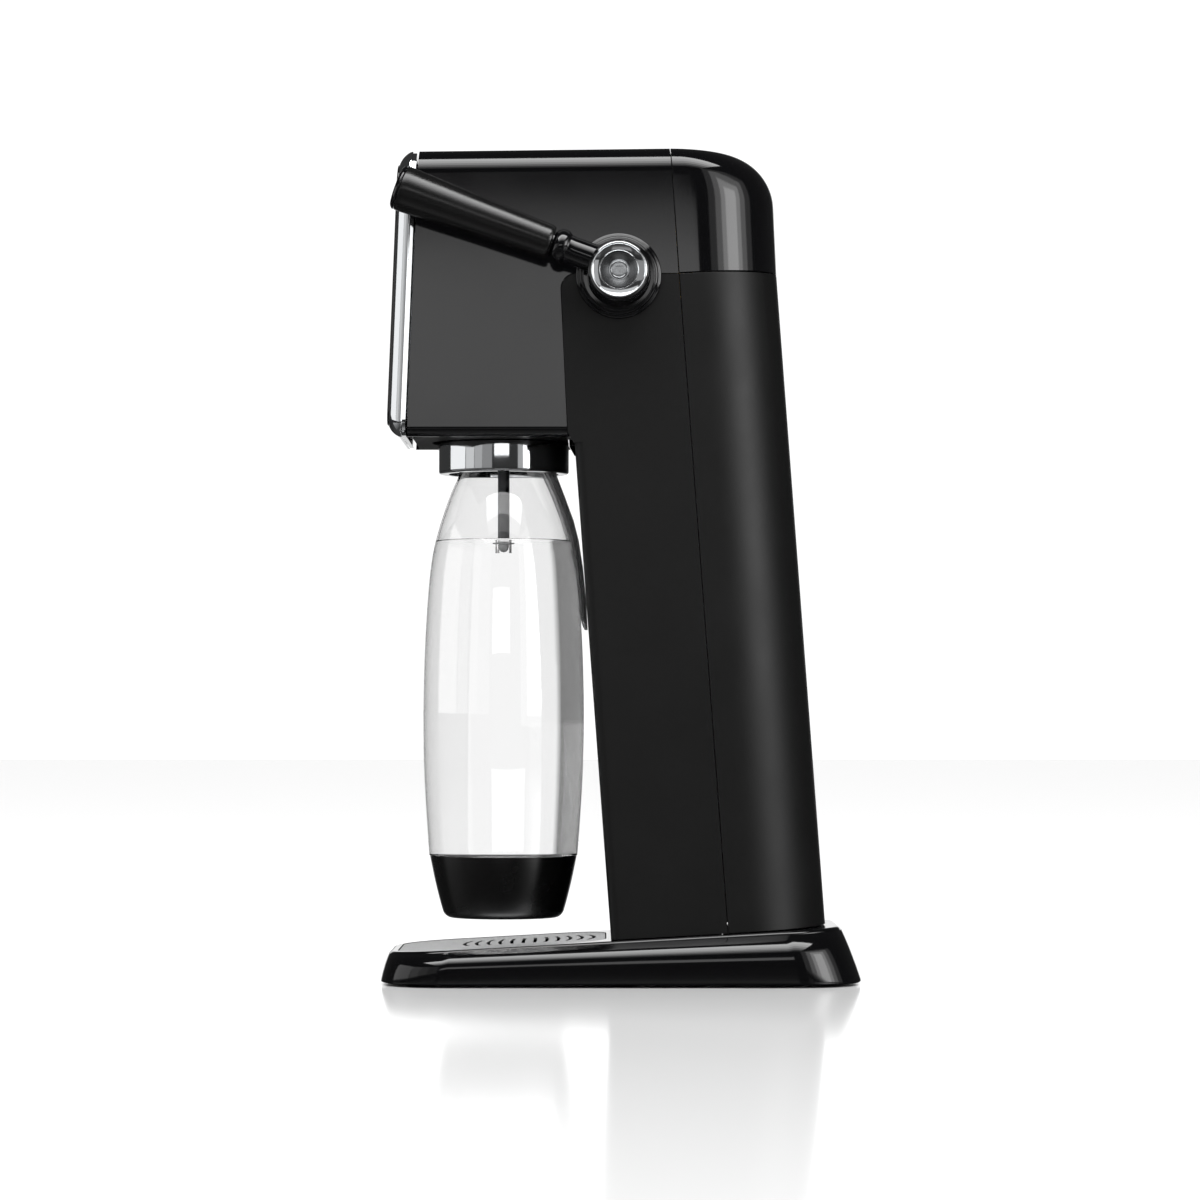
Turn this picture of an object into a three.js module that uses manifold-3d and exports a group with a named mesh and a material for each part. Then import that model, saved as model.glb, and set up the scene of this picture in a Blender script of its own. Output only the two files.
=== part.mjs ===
// A lever-operated soda carbonator: base with drip tray, leaning column with the gas cylinder
// inside, head with the valve gear, swinging bottle carriage and a screw-in bottle.
// Millimetres. +Z is up, the front of the machine faces -Y, the lever is on the +X side.
// The origin is on the resting plane, in the middle of the base.

import * as THREE from 'three';
import { mergeVertices } from 'three/addons/utils/BufferGeometryUtils.js';
import Module from 'manifold-3d';

const wasm = await Module();
wasm.setup();

// ---------------------------------------------------------------- driving dimensions

const GAP = 0.35;                 // clearance between pieces that touch
const WALL = 2.5;                 // casing wall
const PAST = 5;                   // how far a cutting tool runs past the face it cuts

const HALF_WIDTH = 56;            // head and column, half width
const HEAD_BOTTOM = 281;
const HEAD_TOP_FRONT = 429.1;
const HEAD_TOP_REAR = 430.7;
const HEAD_EDGE = 13;             // fillet along the top sides of the head
const FACE_LEAN = 0.0395;         // front face: rise of Y per mm of height
const FACE_Y_BOTTOM = -120.8;     // front face at the underside of the head
const BEZEL_DEPTH = 10;           // bezel, measured back from the front face
const BEZEL_CHAMFER = 7;
const BEZEL_INSET = 6;
const SHELL_SETBACK = 11;         // head shell starts this far behind the front face

const COLUMN_LEAN = 0.0737;       // column: fall of Y per mm of height
const COLUMN_REF_Z = 34;          // the three column lines are given at this height
const COLUMN_FRONT = -6;
const COLUMN_SEAM = 54;           // joint between the column shell and the rear cover
const COLUMN_REAR = 106;
const COLUMN_TOP = 365;
const REAR_CORNER = 44;           // plan radius of the rear corners
const FRONT_CORNER = 5;
const CAP_ROUND = 27;             // side-view radius of the rear cap

const BASE_LENGTH = 248;
const BASE_HALF_WIDTH = 69;
const BASE_CORNER = 34;
const BASE_BOTTOM = 1.3;
const BASE_TOP_FRONT = 16.8;      // top plane at the front rim
const BASE_SLOPE = 0.056;         // the top plane rises to the rear
const BASE_RIM_FRONT = -119;

const PIVOT_Y = -1.3;             // lever axis, parallel to X
const PIVOT_Z = 363.4;
const LEVER_RISE = 20.2;          // degrees above level at rest
const LEVER_REACH = 121.5;
const NECK_OFFSET = 1.9;          // the neck's axis runs this far above the hub's centre
const GRIP_X = 76;
const HUB_END = 84;               // outer end of the hub barrel
const HUB_FACE = 87.5;            // outer face of the hub cap
const CAM_THROW = 5.5;
const CAM_RADIUS = 8;
const SHAFT_RADIUS = 4;

const BOTTLE_Y = -61.5;           // bottle axis
const COLLAR_RADIUS = 34.2;
const COLLAR_BOTTOM = 264.8;
const COLLAR_TOP = 281.6;
const SWING_Y = -20;              // axis on which the bottle carriage swings, parallel to X
const SWING_Z = 287;
const MOUTH_Z = 296;              // mouth of the bottle
const BOTTLE_FOOT = 32.7;

const CYLINDER_RADIUS = 30;
const CYLINDER_HEIGHT = 310;      // steel body without its valve
const CYLINDER_FOOT_Z = 36;

// ---------------------------------------------------------------- materials

function material(color, roughness, metalness) {
  return new THREE.MeshStandardMaterial({ color, roughness, metalness });
}

const glossBlack = material('#0b0b0c', 0.12, 0);
const satinBlack = material('#1d1d1f', 0.45, 0);
const softBlack = material('#151515', 0.7, 0);
const rubber = material('#101010', 0.9, 0);
const chrome = material('#d8dadc', 0.08, 1);
const steel = material('#b4b6b8', 0.3, 1);
const satinSteel = material('#c3c4c5', 0.35, 1);
const brass = material('#b5924c', 0.3, 1);
const cylinderPaint = material('#8f9aa3', 0.4, 0.1);
const nylon = material('#2b2d30', 0.6, 0);
const clearPlastic = material('#e8ecee', 0.05, 0);
const siliconeGrey = material('#8d8f91', 0.7, 0);

// ---------------------------------------------------------------- solids

/** The solid inside a closed three.js geometry. */
function solid(geometry) {
  const bare = geometry.clone();
  bare.deleteAttribute('normal');
  bare.deleteAttribute('uv');
  const merged = mergeVertices(bare, 1e-4);
  const index = merged.index.array;
  const triangles = [];
  for (let i = 0; i < index.length; i += 3) {
    const [a, b, c] = [index[i], index[i + 1], index[i + 2]];
    if (a !== b && b !== c && c !== a) triangles.push(a, b, c);
  }
  return new wasm.Manifold(new wasm.Mesh({
    numProp: 3,
    vertProperties: new Float32Array(merged.attributes.position.array),
    triVerts: new Uint32Array(triangles),
  }));
}

/** The three.js geometry of a solid. */
function geometryOf(body) {
  const mesh = body.getMesh();
  const geometry = new THREE.BufferGeometry();
  geometry.setAttribute('position', new THREE.BufferAttribute(mesh.vertProperties, 3));
  geometry.setIndex(new THREE.BufferAttribute(mesh.triVerts, 1));
  geometry.computeVertexNormals();
  return geometry;
}

function join(...pieces) {
  return geometryOf(pieces.map(solid).reduce((whole, piece) => whole.add(piece)));
}

function cut(geometry, ...tools) {
  return geometryOf(tools.map(solid).reduce((left, tool) => left.subtract(tool), solid(geometry)));
}

function common(first, second) {
  return geometryOf(solid(first).intersect(solid(second)));
}

// ---------------------------------------------------------------- shape helpers

const rad = THREE.MathUtils.degToRad;

/**
 * Extrudes an outline through a list of levels and moves each of its points with
 * place(u, v, level), which returns [x, y, z].
 */
function layered(outline, levels, place, curveSegments = 3) {
  const steps = levels.length - 1;
  const options = { depth: steps, steps, bevelEnabled: false, curveSegments };
  const geometry = new THREE.ExtrudeGeometry(outline, options);
  const position = geometry.attributes.position;
  for (let i = 0; i < position.count; i += 1) {
    const level = levels[Math.round(position.getZ(i))];
    position.setXYZ(i, ...place(position.getX(i), position.getY(i), level));
  }
  return geometry;
}

/** A plate: an outline in X and Y between two heights. */
function plate(outline, z0, z1, curveSegments = 3) {
  return layered(outline, [z0, z1], (x, y, z) => [x, y, z], curveSegments);
}

/** A side profile in Y and Z, between two X positions. */
function sidePlate(outline, x0, x1, curveSegments = 3) {
  return layered(outline, [x0, x1], (y, z, x) => [x, y, z], curveSegments);
}

/** A body turned about Z from an anticlockwise (radius, height) profile. */
function turned(profile, segments = 16) {
  const points = profile.map(([r, z]) => new THREE.Vector2(r, z));
  return new THREE.LatheGeometry(points, segments).rotateX(Math.PI / 2);
}

/** The same, with the height running along +X. */
function turnedAlongX(profile, segments = 16) {
  const points = profile.map(([r, x]) => new THREE.Vector2(r, x));
  return new THREE.LatheGeometry(points, segments).rotateZ(-Math.PI / 2);
}

/** The closed profile of a ring. */
function ringProfile(inner, outer, from, to) {
  return [[outer, from], [outer, to], [inner, to], [inner, from], [outer, from]];
}

/** The profile of a plain rod. */
function rodProfile(radius, from, to) {
  return [[0, from], [radius, from], [radius, to], [0, to]];
}

/** A box from its lowest corner to its highest corner. */
function box(x0, x1, y0, y1, z0, z1) {
  const geometry = new THREE.BoxGeometry(x1 - x0, y1 - y0, z1 - z0);
  return geometry.translate((x0 + x1) / 2, (y0 + y1) / 2, (z0 + z1) / 2);
}

/** A rectangle with its own radius at each end of the second axis. */
function roundedBlock(halfWidth, low, high, lowRadius, highRadius) {
  const shape = new THREE.Shape();
  shape.moveTo(-halfWidth + lowRadius, low);
  shape.lineTo(halfWidth - lowRadius, low);
  shape.absarc(halfWidth - lowRadius, low + lowRadius, lowRadius, -Math.PI / 2, 0, false);
  shape.lineTo(halfWidth, high - highRadius);
  shape.absarc(halfWidth - highRadius, high - highRadius, highRadius, 0, Math.PI / 2, false);
  shape.lineTo(-halfWidth + highRadius, high);
  shape.absarc(-halfWidth + highRadius, high - highRadius, highRadius, Math.PI / 2, Math.PI, false);
  shape.lineTo(-halfWidth, low + lowRadius);
  shape.absarc(-halfWidth + lowRadius, low + lowRadius, lowRadius, Math.PI, 1.5 * Math.PI, false);
  return shape;
}

/** A closed outline through [u, v] points, in order. */
function outlineThrough(points) {
  return new THREE.Shape(points.map(([u, v]) => new THREE.Vector2(u, v)));
}

/** A coil of wire along +Z. */
function coil(radius, wire, length, turns) {
  class Helix extends THREE.Curve {
    getPoint(t, target = new THREE.Vector3()) {
      const angle = 2 * Math.PI * turns * t;
      return target.set(radius * Math.cos(angle), radius * Math.sin(angle), length * t);
    }
  }
  return pipe(new Helix(), wire, 8 * turns, 6);
}

/** A solid round bar along a curve. */
function pipe(path, radius, steps, sides) {
  const section = new THREE.Shape();
  section.absarc(0, 0, radius, 0, 2 * Math.PI, false);
  const options = { steps, extrudePath: path, curveSegments: sides / 2 };
  return new THREE.ExtrudeGeometry(section, options);
}

// ---------------------------------------------------------------- reference surfaces

/** Y of the head's front face at height z. */
function faceY(z) {
  return FACE_Y_BOTTOM + (z - HEAD_BOTTOM) * FACE_LEAN;
}

/** Y at height z of a column line given by its Y at the reference height. */
function leaning(y, z) {
  return y - (z - COLUMN_REF_Z) * COLUMN_LEAN;
}

/** Height of the base's top plane at y. */
function baseTop(y) {
  return BASE_TOP_FRONT + (y - BASE_RIM_FRONT) * BASE_SLOPE;
}

/** Height of the head's roof at y. */
function roofZ(y) {
  const along = (y + 109) / 136;
  return HEAD_TOP_FRONT + (HEAD_TOP_REAR - HEAD_TOP_FRONT) * along;
}

// ---------------------------------------------------------------- base

/** The base, flaring downwards to its foot; `inset` gives the inner surface. */
function baseForm(inset, bottom, topDrop) {
  const flare = { side: 10.5, front: 4.6, rear: 11 };
  const half = BASE_LENGTH / 2;
  const outline = roundedBlock(BASE_HALF_WIDTH - inset, -half + inset, half - inset,
    BASE_CORNER - inset, BASE_CORNER - inset);
  const place = (x, y, level) => {
    const rise = Math.min(level, 1);
    const crown = level > 1 ? 1.2 : 0;
    const endFlare = y < 0 ? flare.front : flare.rear;
    const px = x * (1 - (rise * flare.side + crown) / BASE_HALF_WIDTH);
    const py = y * (1 - (rise * endFlare + crown) / half);
    const rim = baseTop(py) - topDrop - (level > 1 ? 0 : 0.8);
    return [px, py, bottom + (rim - bottom) * rise];
  };
  return layered(outline, [0, 1, 2], place, 4);
}

const TRAY = { half: 54.6, front: -115.4, rear: -7.6, corner: 27 };

/** A tray-shaped block that follows the base's top plane, between two depths. */
function trayBlock(inset, lower, upper) {
  const outline = roundedBlock(TRAY.half - inset, TRAY.front + inset, TRAY.rear - inset,
    TRAY.corner - inset, TRAY.corner - inset);
  return layered(outline, [lower, upper], (x, y, depth) => [x, y, baseTop(y) + depth], 3);
}

function baseHousing() {
  const hollow = baseForm(WALL, BASE_BOTTOM - 0.01, WALL);
  const tub = trayBlock(-2, -9.5, -1.5);
  const pocket = trayBlock(0, -8, PAST);
  const shell = cut(baseForm(0, BASE_BOTTOM, 0), hollow);
  return cut(join(shell, tub), pocket);
}

const BOTTOM_SCREWS = [[-42, -88], [42, -88], [-42, 94], [42, 94]];

function baseBottomPlate() {
  const half = BASE_LENGTH / 2;
  const inset = WALL + 1.8;
  const outline = roundedBlock(BASE_HALF_WIDTH - inset, -half + inset, half - inset,
    BASE_CORNER - inset, BASE_CORNER - inset);
  const holes = BOTTOM_SCREWS.map(([x, y]) => turned(rodProfile(3.9, -PAST, PAST), 12)
    .translate(x, y, 0));
  return cut(plate(outline, BASE_BOTTOM, BASE_BOTTOM + 2.2), ...holes);
}

function bottomScrew() {
  return turned([[0, 0], [3.5, 0], [3.5, 1.6], [1.6, 2.4], [1.6, 3.4], [0, 3.4]], 12);
}

function footStrip(length) {
  return plate(roundedBlock(length / 2, -6, 6, 5.5, 5.5), 0, BASE_BOTTOM - GAP, 3);
}

const SLOTS = { count: 12, first: -78.4, pitch: 5.55, half: 23, width: 1.6, bow: 0.11, middle: -48 };

/** A drain slot across the plate at y, bowed away from the middle of the row. */
function drainSlot(y) {
  const bow = (y - SLOTS.middle) * SLOTS.bow;
  const edge = (side) => [-1, -0.67, -0.33, 0, 0.33, 0.67, 1]
    .map((t) => [t * SLOTS.half, y + bow * (1 - t * t) + side * SLOTS.width / 2]);
  return plate(outlineThrough([...edge(-1), ...edge(1).reverse()]), 0, 40);
}

/** The metal drip plate with its row of drain slots. */
function dripPlate() {
  const slots = [];
  for (let i = 0; i < SLOTS.count; i += 1) slots.push(drainSlot(SLOTS.first + i * SLOTS.pitch));
  return cut(trayBlock(0.5, -1.4, -0.2), ...slots);
}

function dripBasin() {
  return cut(trayBlock(0.6, -7.6, -1.4 - GAP), trayBlock(2.1, -6.2, PAST));
}

// ---------------------------------------------------------------- column and rear cover

/** Plan outline of the whole column at the reference height. */
function columnPlan(inset) {
  return roundedBlock(HALF_WIDTH - inset, COLUMN_FRONT + inset, COLUMN_REAR - inset,
    Math.max(FRONT_CORNER - inset, 1), REAR_CORNER - inset);
}

/** The leaning column between its foot on the base and height `top`. */
function columnForm(inset, footLift, top) {
  const place = (x, y, level) => {
    const z = level === 'foot' ? baseTop(y) + footLift : level;
    return [x, leaning(y, z), z];
  };
  return layered(columnPlan(inset), ['foot', top], place, 4);
}

/** Everything behind a column line, as a cutting block. */
function behindLine(y) {
  const low = -20;
  const high = COLUMN_TOP + 60;
  return sidePlate(outlineThrough([[leaning(y, low), low], [200, low], [200, high],
    [leaning(y, high), high]]), -90, 90);
}

/** Everything in front of a column line, as a cutting block. */
function beforeLine(y) {
  const low = -20;
  const high = COLUMN_TOP + 60;
  return sidePlate(outlineThrough([[-200, low], [leaning(y, low), low],
    [leaning(y, high), high], [-200, high]]), -90, 90);
}

/** Side profile of the shoulders that reach into the head, grown by `grow`. */
function shoulderProfile(grow) {
  const corner = 8;
  const front = -30.8 - grow;
  const top = COLUMN_TOP - GAP + grow;
  const shape = new THREE.Shape();
  shape.moveTo(-24.6 - grow, HEAD_BOTTOM - 3);
  shape.lineTo(-27.4 - grow, HEAD_BOTTOM + 2);
  shape.lineTo(front, top - corner);
  shape.absarc(front + corner, top - corner, corner, Math.PI, Math.PI / 2, true);
  shape.lineTo(60, top);
  shape.lineTo(60, HEAD_BOTTOM - 3);
  return shape;
}

/** Everything above the seam between rear cover and rear cap, which rises with the base. */
function aboveCoverSeam(shift) {
  const seam = (y) => COLUMN_TOP + shift + (y - rearSeamY(COLUMN_TOP)) * BASE_SLOPE;
  return sidePlate(outlineThrough([[-200, seam(-200)], [200, seam(200)], [200, 600], [-200, 600]]),
    -90, 90);
}

/** Round passage for the lever shaft through the side wall. */
function shaftPassage() {
  return turnedAlongX(rodProfile(13, 40, 70), 24).translate(0, PIVOT_Y, PIVOT_Z);
}

function columnShell() {
  const foot = GAP + 0.3;
  const below = cut(columnForm(0, foot, HEAD_BOTTOM - 0.5), columnForm(WALL, -PAST, HEAD_BOTTOM + PAST));
  const shoulders = cut(sidePlate(shoulderProfile(0), -HALF_WIDTH, HALF_WIDTH, 4),
    box(-HALF_WIDTH + WALL, HALF_WIDTH - WALL, -100, 100, 200, 400));
  return cut(join(below, shoulders), behindLine(COLUMN_SEAM - GAP / 2), shaftPassage());
}

const BUTTON = { half: 12, low: 338, high: 350, depth: 6, travel: 2.5 };

/** The release button's outline, grown by `grow`, as a block through the rear wall. */
function buttonBlock(grow, y0, y1) {
  const outline = roundedBlock(BUTTON.half + grow, BUTTON.low - grow, BUTTON.high + grow, 4, 4);
  return layered(outline, [y1, y0], (x, z, y) => [x, y, z], 2);
}

function rearCover() {
  const foot = GAP + 0.3;
  const above = COLUMN_TOP + PAST;
  const shell = cut(columnForm(0, foot, above), columnForm(WALL, -PAST, above + PAST));
  const seam = aboveCoverSeam(-GAP);
  return cut(shell, seam, beforeLine(COLUMN_SEAM + GAP / 2), buttonBlock(0.5, 70, 100));
}

function coverButton() {
  const rearFace = leaning(COLUMN_REAR, (BUTTON.low + BUTTON.high) / 2) - 0.4;
  return buttonBlock(0, rearFace - BUTTON.depth, rearFace);
}

// ---------------------------------------------------------------- head

/** Outline of the head in X and Z. */
function headOutline(inset) {
  return roundedBlock(HALF_WIDTH - inset, HEAD_BOTTOM + inset, HEAD_TOP_REAR - inset,
    5, HEAD_EDGE - inset);
}

/** Y of the joint between the head shell and the rear cap at height z. */
function rearSeamY(z) {
  return 29.5 - (z - COLUMN_TOP) * 0.066;
}

/** The head as a block; a positive `reach` runs it past both ends. */
function headForm(inset, reach) {
  const place = (x, z, level) => {
    const y = level === 'rear' ? rearSeamY(z) - GAP / 2 + reach : faceY(z) + SHELL_SETBACK - reach;
    const share = (z - HEAD_BOTTOM) / (HEAD_TOP_REAR - HEAD_BOTTOM);
    return [x, y, z + share * (roofZ(y) - HEAD_TOP_REAR)];
  };
  return layered(headOutline(inset), ['rear', 'front'], place, 3);
}

function headShell() {
  const shell = cut(headForm(0, 0), headForm(WALL, PAST));
  const underside = box(-50, 50, -100, 100, HEAD_BOTTOM - PAST, HEAD_BOTTOM + PAST);
  const frontLip = box(-50, 50, -130, -99, HEAD_BOTTOM - PAST, HEAD_BOTTOM + PAST);
  const column = sidePlate(shoulderProfile(GAP), -90, 90, 4);
  const columnFoot = box(-90, 90, -25, 60, HEAD_BOTTOM - PAST, HEAD_BOTTOM + 1);
  return cut(shell, underside, frontLip, column, columnFoot, shaftPassage());
}

function headBottomCover() {
  const opening = turned(rodProfile(COLLAR_RADIUS + 3.6, 0, 400), 32).translate(0, BOTTLE_Y, 0);
  const arm = box(-16, 16, BOTTLE_Y, 0, 200, 400);
  const outline = roundedBlock(50 - GAP, -107.5, -28.6, 12, 1);
  return cut(plate(outline, HEAD_BOTTOM + 0.2, HEAD_BOTTOM + 2.7), opening, arm);
}

/** A frame in the plane of the front face: `levels` are [depth behind the face, inset]. */
function faceFrame(levels, curveSegments = 3) {
  const place = (x, z, [depth, inset]) => {
    const middle = (HEAD_BOTTOM + HEAD_TOP_FRONT) / 2;
    const high = (HEAD_TOP_FRONT - HEAD_BOTTOM) / 2;
    const pz = middle + (z - middle) * (high - inset) / high;
    return [x * (HALF_WIDTH - inset) / HALF_WIDTH, faceY(pz) + depth, pz];
  };
  const outline = roundedBlock(HALF_WIDTH, HEAD_BOTTOM, HEAD_TOP_FRONT, 8, HEAD_EDGE);
  return layered(outline, levels, place, curveSegments);
}

function headBezel() {
  const ring = faceFrame([[BEZEL_DEPTH, 0.8], [BEZEL_CHAMFER + 1, 0.8], [BEZEL_CHAMFER + 1, 0.2],
    [1, BEZEL_INSET]]);
  const seat = faceFrame([[4 + GAP, BEZEL_INSET - 0.2], [-PAST, BEZEL_INSET - 0.2]]);
  const opening = faceFrame([[BEZEL_DEPTH + PAST, BEZEL_INSET + 4], [-PAST, BEZEL_INSET + 4]]);
  return cut(ring, seat, opening);
}

function frontPanel() {
  return faceFrame([[4, BEZEL_INSET + 0.3], [0.8, BEZEL_INSET + 0.3], [0, BEZEL_INSET + 1.1]]);
}

/** The domed rear cap: rounded in plan and over the top; `inset` gives the inner surface. */
function capForm(inset, bottom, front) {
  const top = HEAD_TOP_REAR - inset;
  const round = CAP_ROUND - inset;
  const edge = HEAD_EDGE - inset;
  const rear = leaning(COLUMN_REAR, COLUMN_TOP) - inset;
  const arc = [0, 20, 40, 55, 68, 80, 90].map((a) => top - round + round * Math.sin(rad(a)));
  const shrink = (radius, z) => {
    const rise = Math.max(z - (top - radius), 0);
    return radius - Math.sqrt(Math.max(radius * radius - rise * rise, 0));
  };
  const outline = roundedBlock(HALF_WIDTH - inset, front, rear, 0.5, REAR_CORNER - inset);
  const place = (x, y, z) => {
    const lean = (COLUMN_TOP - z) * 0.045;
    const px = x * (HALF_WIDTH - inset - shrink(edge, z)) / (HALF_WIDTH - inset);
    const depth = rear - front;
    return [px, front + (y - front) * (depth - shrink(round, z)) / depth + lean, z];
  };
  return layered(outline, [bottom, ...arc], place, 4);
}

function rearCap() {
  const seamBlock = sidePlate(outlineThrough([[-200, 300], [rearSeamY(300), 300],
    [rearSeamY(500), 500], [-200, 500]]), -90, 90).translate(0, GAP / 2, 0);
  const shell = cut(capForm(0, COLUMN_TOP, 10), capForm(WALL, COLUMN_TOP - PAST, 0));
  return common(cut(shell, seamBlock), aboveCoverSeam(GAP / 2));
}

// ---------------------------------------------------------------- lever

function leverPedestal() {
  const base = HALF_WIDTH + GAP;
  return turnedAlongX([[6.5, base], [22, base], [22, base + 2.2], [20, base + 3.2], [20, base + 4.6],
    [18.6, base + 5.4], [6.5, base + 5.4], [6.5, base]], 32);
}

const HUB_INNER = HALF_WIDTH + GAP + 5.4 + GAP;

/** Hub barrel and neck; the neck points along -Y before the lever is raised. */
function leverArm() {
  const bore = SHAFT_RADIUS + 0.3;
  const hub = turnedAlongX([[bore, HUB_INNER], [16.4, HUB_INNER], [16.4, HUB_INNER + 2],
    [15.8, HUB_END - 1], [15, HUB_END], [bore, HUB_END], [bore, HUB_INNER]], 24);
  const neck = turned([[0, 8], [7.4, 8], [7, 28], [8.6, 29], [9, 32], [8.6, 35], [7, 36], [6, 37],
    [6, 44], [0, 44]]);
  const placedNeck = neck.rotateX(Math.PI / 2).translate(GRIP_X, 0, NECK_OFFSET);
  return cut(join(hub, placedNeck), turnedAlongX(rodProfile(bore, 50, 100)));
}

const GRIP_START = 37 + GAP;
const GRIP_END = LEVER_REACH - 3;

function leverGrip() {
  const grip = turned([[6.4, GRIP_START], [8, GRIP_START], [8.8, GRIP_START + 1], [11.8, GRIP_END],
    [6.4, GRIP_END], [6.4, GRIP_START]], 24);
  return grip.rotateX(Math.PI / 2).translate(GRIP_X, 0, NECK_OFFSET);
}

function gripEndCap() {
  const start = GRIP_END + GAP;
  const cap = turned([[0, start], [11.8, start], [11.8, start + 1], [10.6, start + 2.6],
    [0, start + 2.6]], 24);
  return cap.rotateX(Math.PI / 2).translate(GRIP_X, 0, NECK_OFFSET);
}

function hubCap() {
  const back = HUB_END + GAP;
  return turnedAlongX([[9.6, back], [14.2, back], [14.2, HUB_FACE - 0.6], [13.6, HUB_FACE],
    [9.9, HUB_FACE - 0.8], [9.6, HUB_FACE - 1.4], [9.6, back]], 32);
}

function hubScrew() {
  const back = HUB_END + GAP;
  const head = turnedAlongX([[0, back], [9.2, back], [9.2, HUB_FACE - 1.2], [5, HUB_FACE - 2],
    [4.4, HUB_FACE - 0.8], [0, HUB_FACE - 0.8]], 24);
  const socket = turnedAlongX(rodProfile(2.2, HUB_FACE - 2.6, HUB_FACE + PAST), 6);
  return cut(head, socket);
}

const SHAFT_INNER = -34;

function leverShaft() {
  return turnedAlongX(rodProfile(SHAFT_RADIUS, SHAFT_INNER, HUB_END - 0.5));
}

function leverCam() {
  const disc = turnedAlongX(rodProfile(CAM_RADIUS, -6, 6), 24).translate(0, 0, -CAM_THROW);
  const hub = turnedAlongX(rodProfile(7, -10, 10));
  return cut(join(disc, hub), turnedAlongX(rodProfile(SHAFT_RADIUS + GAP, -PAST * 4, PAST * 4)));
}

function shaftBush(x0, x1) {
  return turnedAlongX([[SHAFT_RADIUS + 0.3, x0], [6, x0], [6, x1 - 1.2], [8, x1 - 1.2], [8, x1],
    [SHAFT_RADIUS + 0.3, x1], [SHAFT_RADIUS + 0.3, x0]]);
}

function retainingRing() {
  return turnedAlongX(ringProfile(SHAFT_RADIUS + GAP, 6.5, SHAFT_INNER + 1, SHAFT_INNER + 2));
}

function leverReturnSpring() {
  return coil(6.6, 0.8, 18, 4).rotateY(Math.PI / 2);
}

// ---------------------------------------------------------------- chassis and valve gear

const CHEEK = { right: 40, left: -30, thick: 3 };

/** The moulded carrier inside the head: two cheeks, cross ties and the carriage lugs. */
function chassis() {
  const profile = outlineThrough([[-15, 282], [-4, 282], [-2, 330], [10, 345], [10, 384], [-12, 384],
    [-18, 345], [-26, 296], [-26, 282]]);
  const cheek = (x) => sidePlate(profile, x, x + CHEEK.thick);
  const ties = [box(CHEEK.left, CHEEK.right + CHEEK.thick, -12, 3, 384 - WALL, 384 + WALL),
    box(CHEEK.left, CHEEK.right + CHEEK.thick, -17, -13, 330, 344)];
  const bores = turnedAlongX(rodProfile(6 + GAP, -60, 60)).translate(0, PIVOT_Y, PIVOT_Z);
  const swing = turnedAlongX(rodProfile(3 + GAP, -60, 60), 12).translate(0, SWING_Y, SWING_Z);
  return cut(join(cheek(CHEEK.right), cheek(CHEEK.left), ...ties), bores, swing);
}

/** The cylinder's own frame: it leans with the column. */
function cylinderFrame(...meshes) {
  const frame = new THREE.Group();
  frame.position.set(0, leaning((COLUMN_FRONT + COLUMN_REAR) / 2, CYLINDER_FOOT_Z), CYLINDER_FOOT_Z);
  frame.rotation.x = Math.atan(COLUMN_LEAN);
  frame.add(...meshes);
  return frame;
}

function gasCylinder() {
  const wall = 3;
  const bend = CYLINDER_HEIGHT - 34;
  const dome = [0, 20, 40, 60, 75].map((a) => [Math.cos(rad(a)), Math.sin(rad(a))]);
  const outside = dome.map(([c, s]) => [13 + 17 * c, bend + 24 * s]);
  const inside = dome.map(([c, s]) => [7 + (23 - wall) * c, bend + (24 - wall) * s]).reverse();
  return turned([[0, 0], [24, 0], [CYLINDER_RADIUS, 6], ...outside, [13, CYLINDER_HEIGHT - 8],
    [13, CYLINDER_HEIGHT], [6.5, CYLINDER_HEIGHT], [6.5, CYLINDER_HEIGHT - 12], ...inside,
    [CYLINDER_RADIUS - wall, 8], [0, wall]], 24);
}

function cylinderValve() {
  const z = CYLINDER_HEIGHT + GAP;
  return turned([[0, z - 8], [6.1, z - 8], [6.1, z], [9.5, z], [9.5, z + 10], [8, z + 11],
    [8, z + 26], [3, z + 26], [3, z + 28], [0, z + 28]]);
}

function cylinderCradle() {
  return turned([[0, -4], [34, -4], [34, 10], [CYLINDER_RADIUS + 1, 10],
    [CYLINDER_RADIUS + 1, 0.4], [25, -GAP], [0, -GAP]], 24);
}

const VALVE_Z = CYLINDER_HEIGHT + 40;      // plunger axis above the foot of the cylinder

/** The block that the cylinder screws into, bored for its valve and for the plunger. */
function valveBlock() {
  const body = box(-16, 16, -11.4, 15, CYLINDER_HEIGHT + 14, CYLINDER_HEIGHT + 50);
  const socket = turned(rodProfile(9.9, 0, CYLINDER_HEIGHT + 30));
  const bore = turned(rodProfile(4.4, -9, 20), 16).rotateX(Math.PI / 2).translate(0, 0, VALVE_Z);
  const relief = turned(rodProfile(3.4, -20, 20), 12).rotateY(Math.PI / 2).translate(26, 6, VALVE_Z);
  return cut(body, socket, bore, relief);
}

/** Follower plate and rod, pushed rearwards by the cam. */
function valvePlunger(follower) {
  const limb = box(-6, 6, follower, follower + 2.2, CYLINDER_HEIGHT + 15.5, VALVE_Z + 5);
  const rod = turned(rodProfile(4, -4, -follower), 16).rotateX(Math.PI / 2).translate(0, 0, VALVE_Z);
  return join(limb, rod);
}

function plungerSpring(from, to) {
  return coil(5, 0.5, to - from, 2.5).rotateX(-Math.PI / 2).translate(0, from, VALVE_Z);
}

function reliefValve() {
  return turned([[0, 0], [3, 0], [3, 6], [6, 6], [6, 13], [4, 14], [0, 14]], 12)
    .rotateY(Math.PI / 2).translate(10, 6, VALVE_Z);
}

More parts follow.
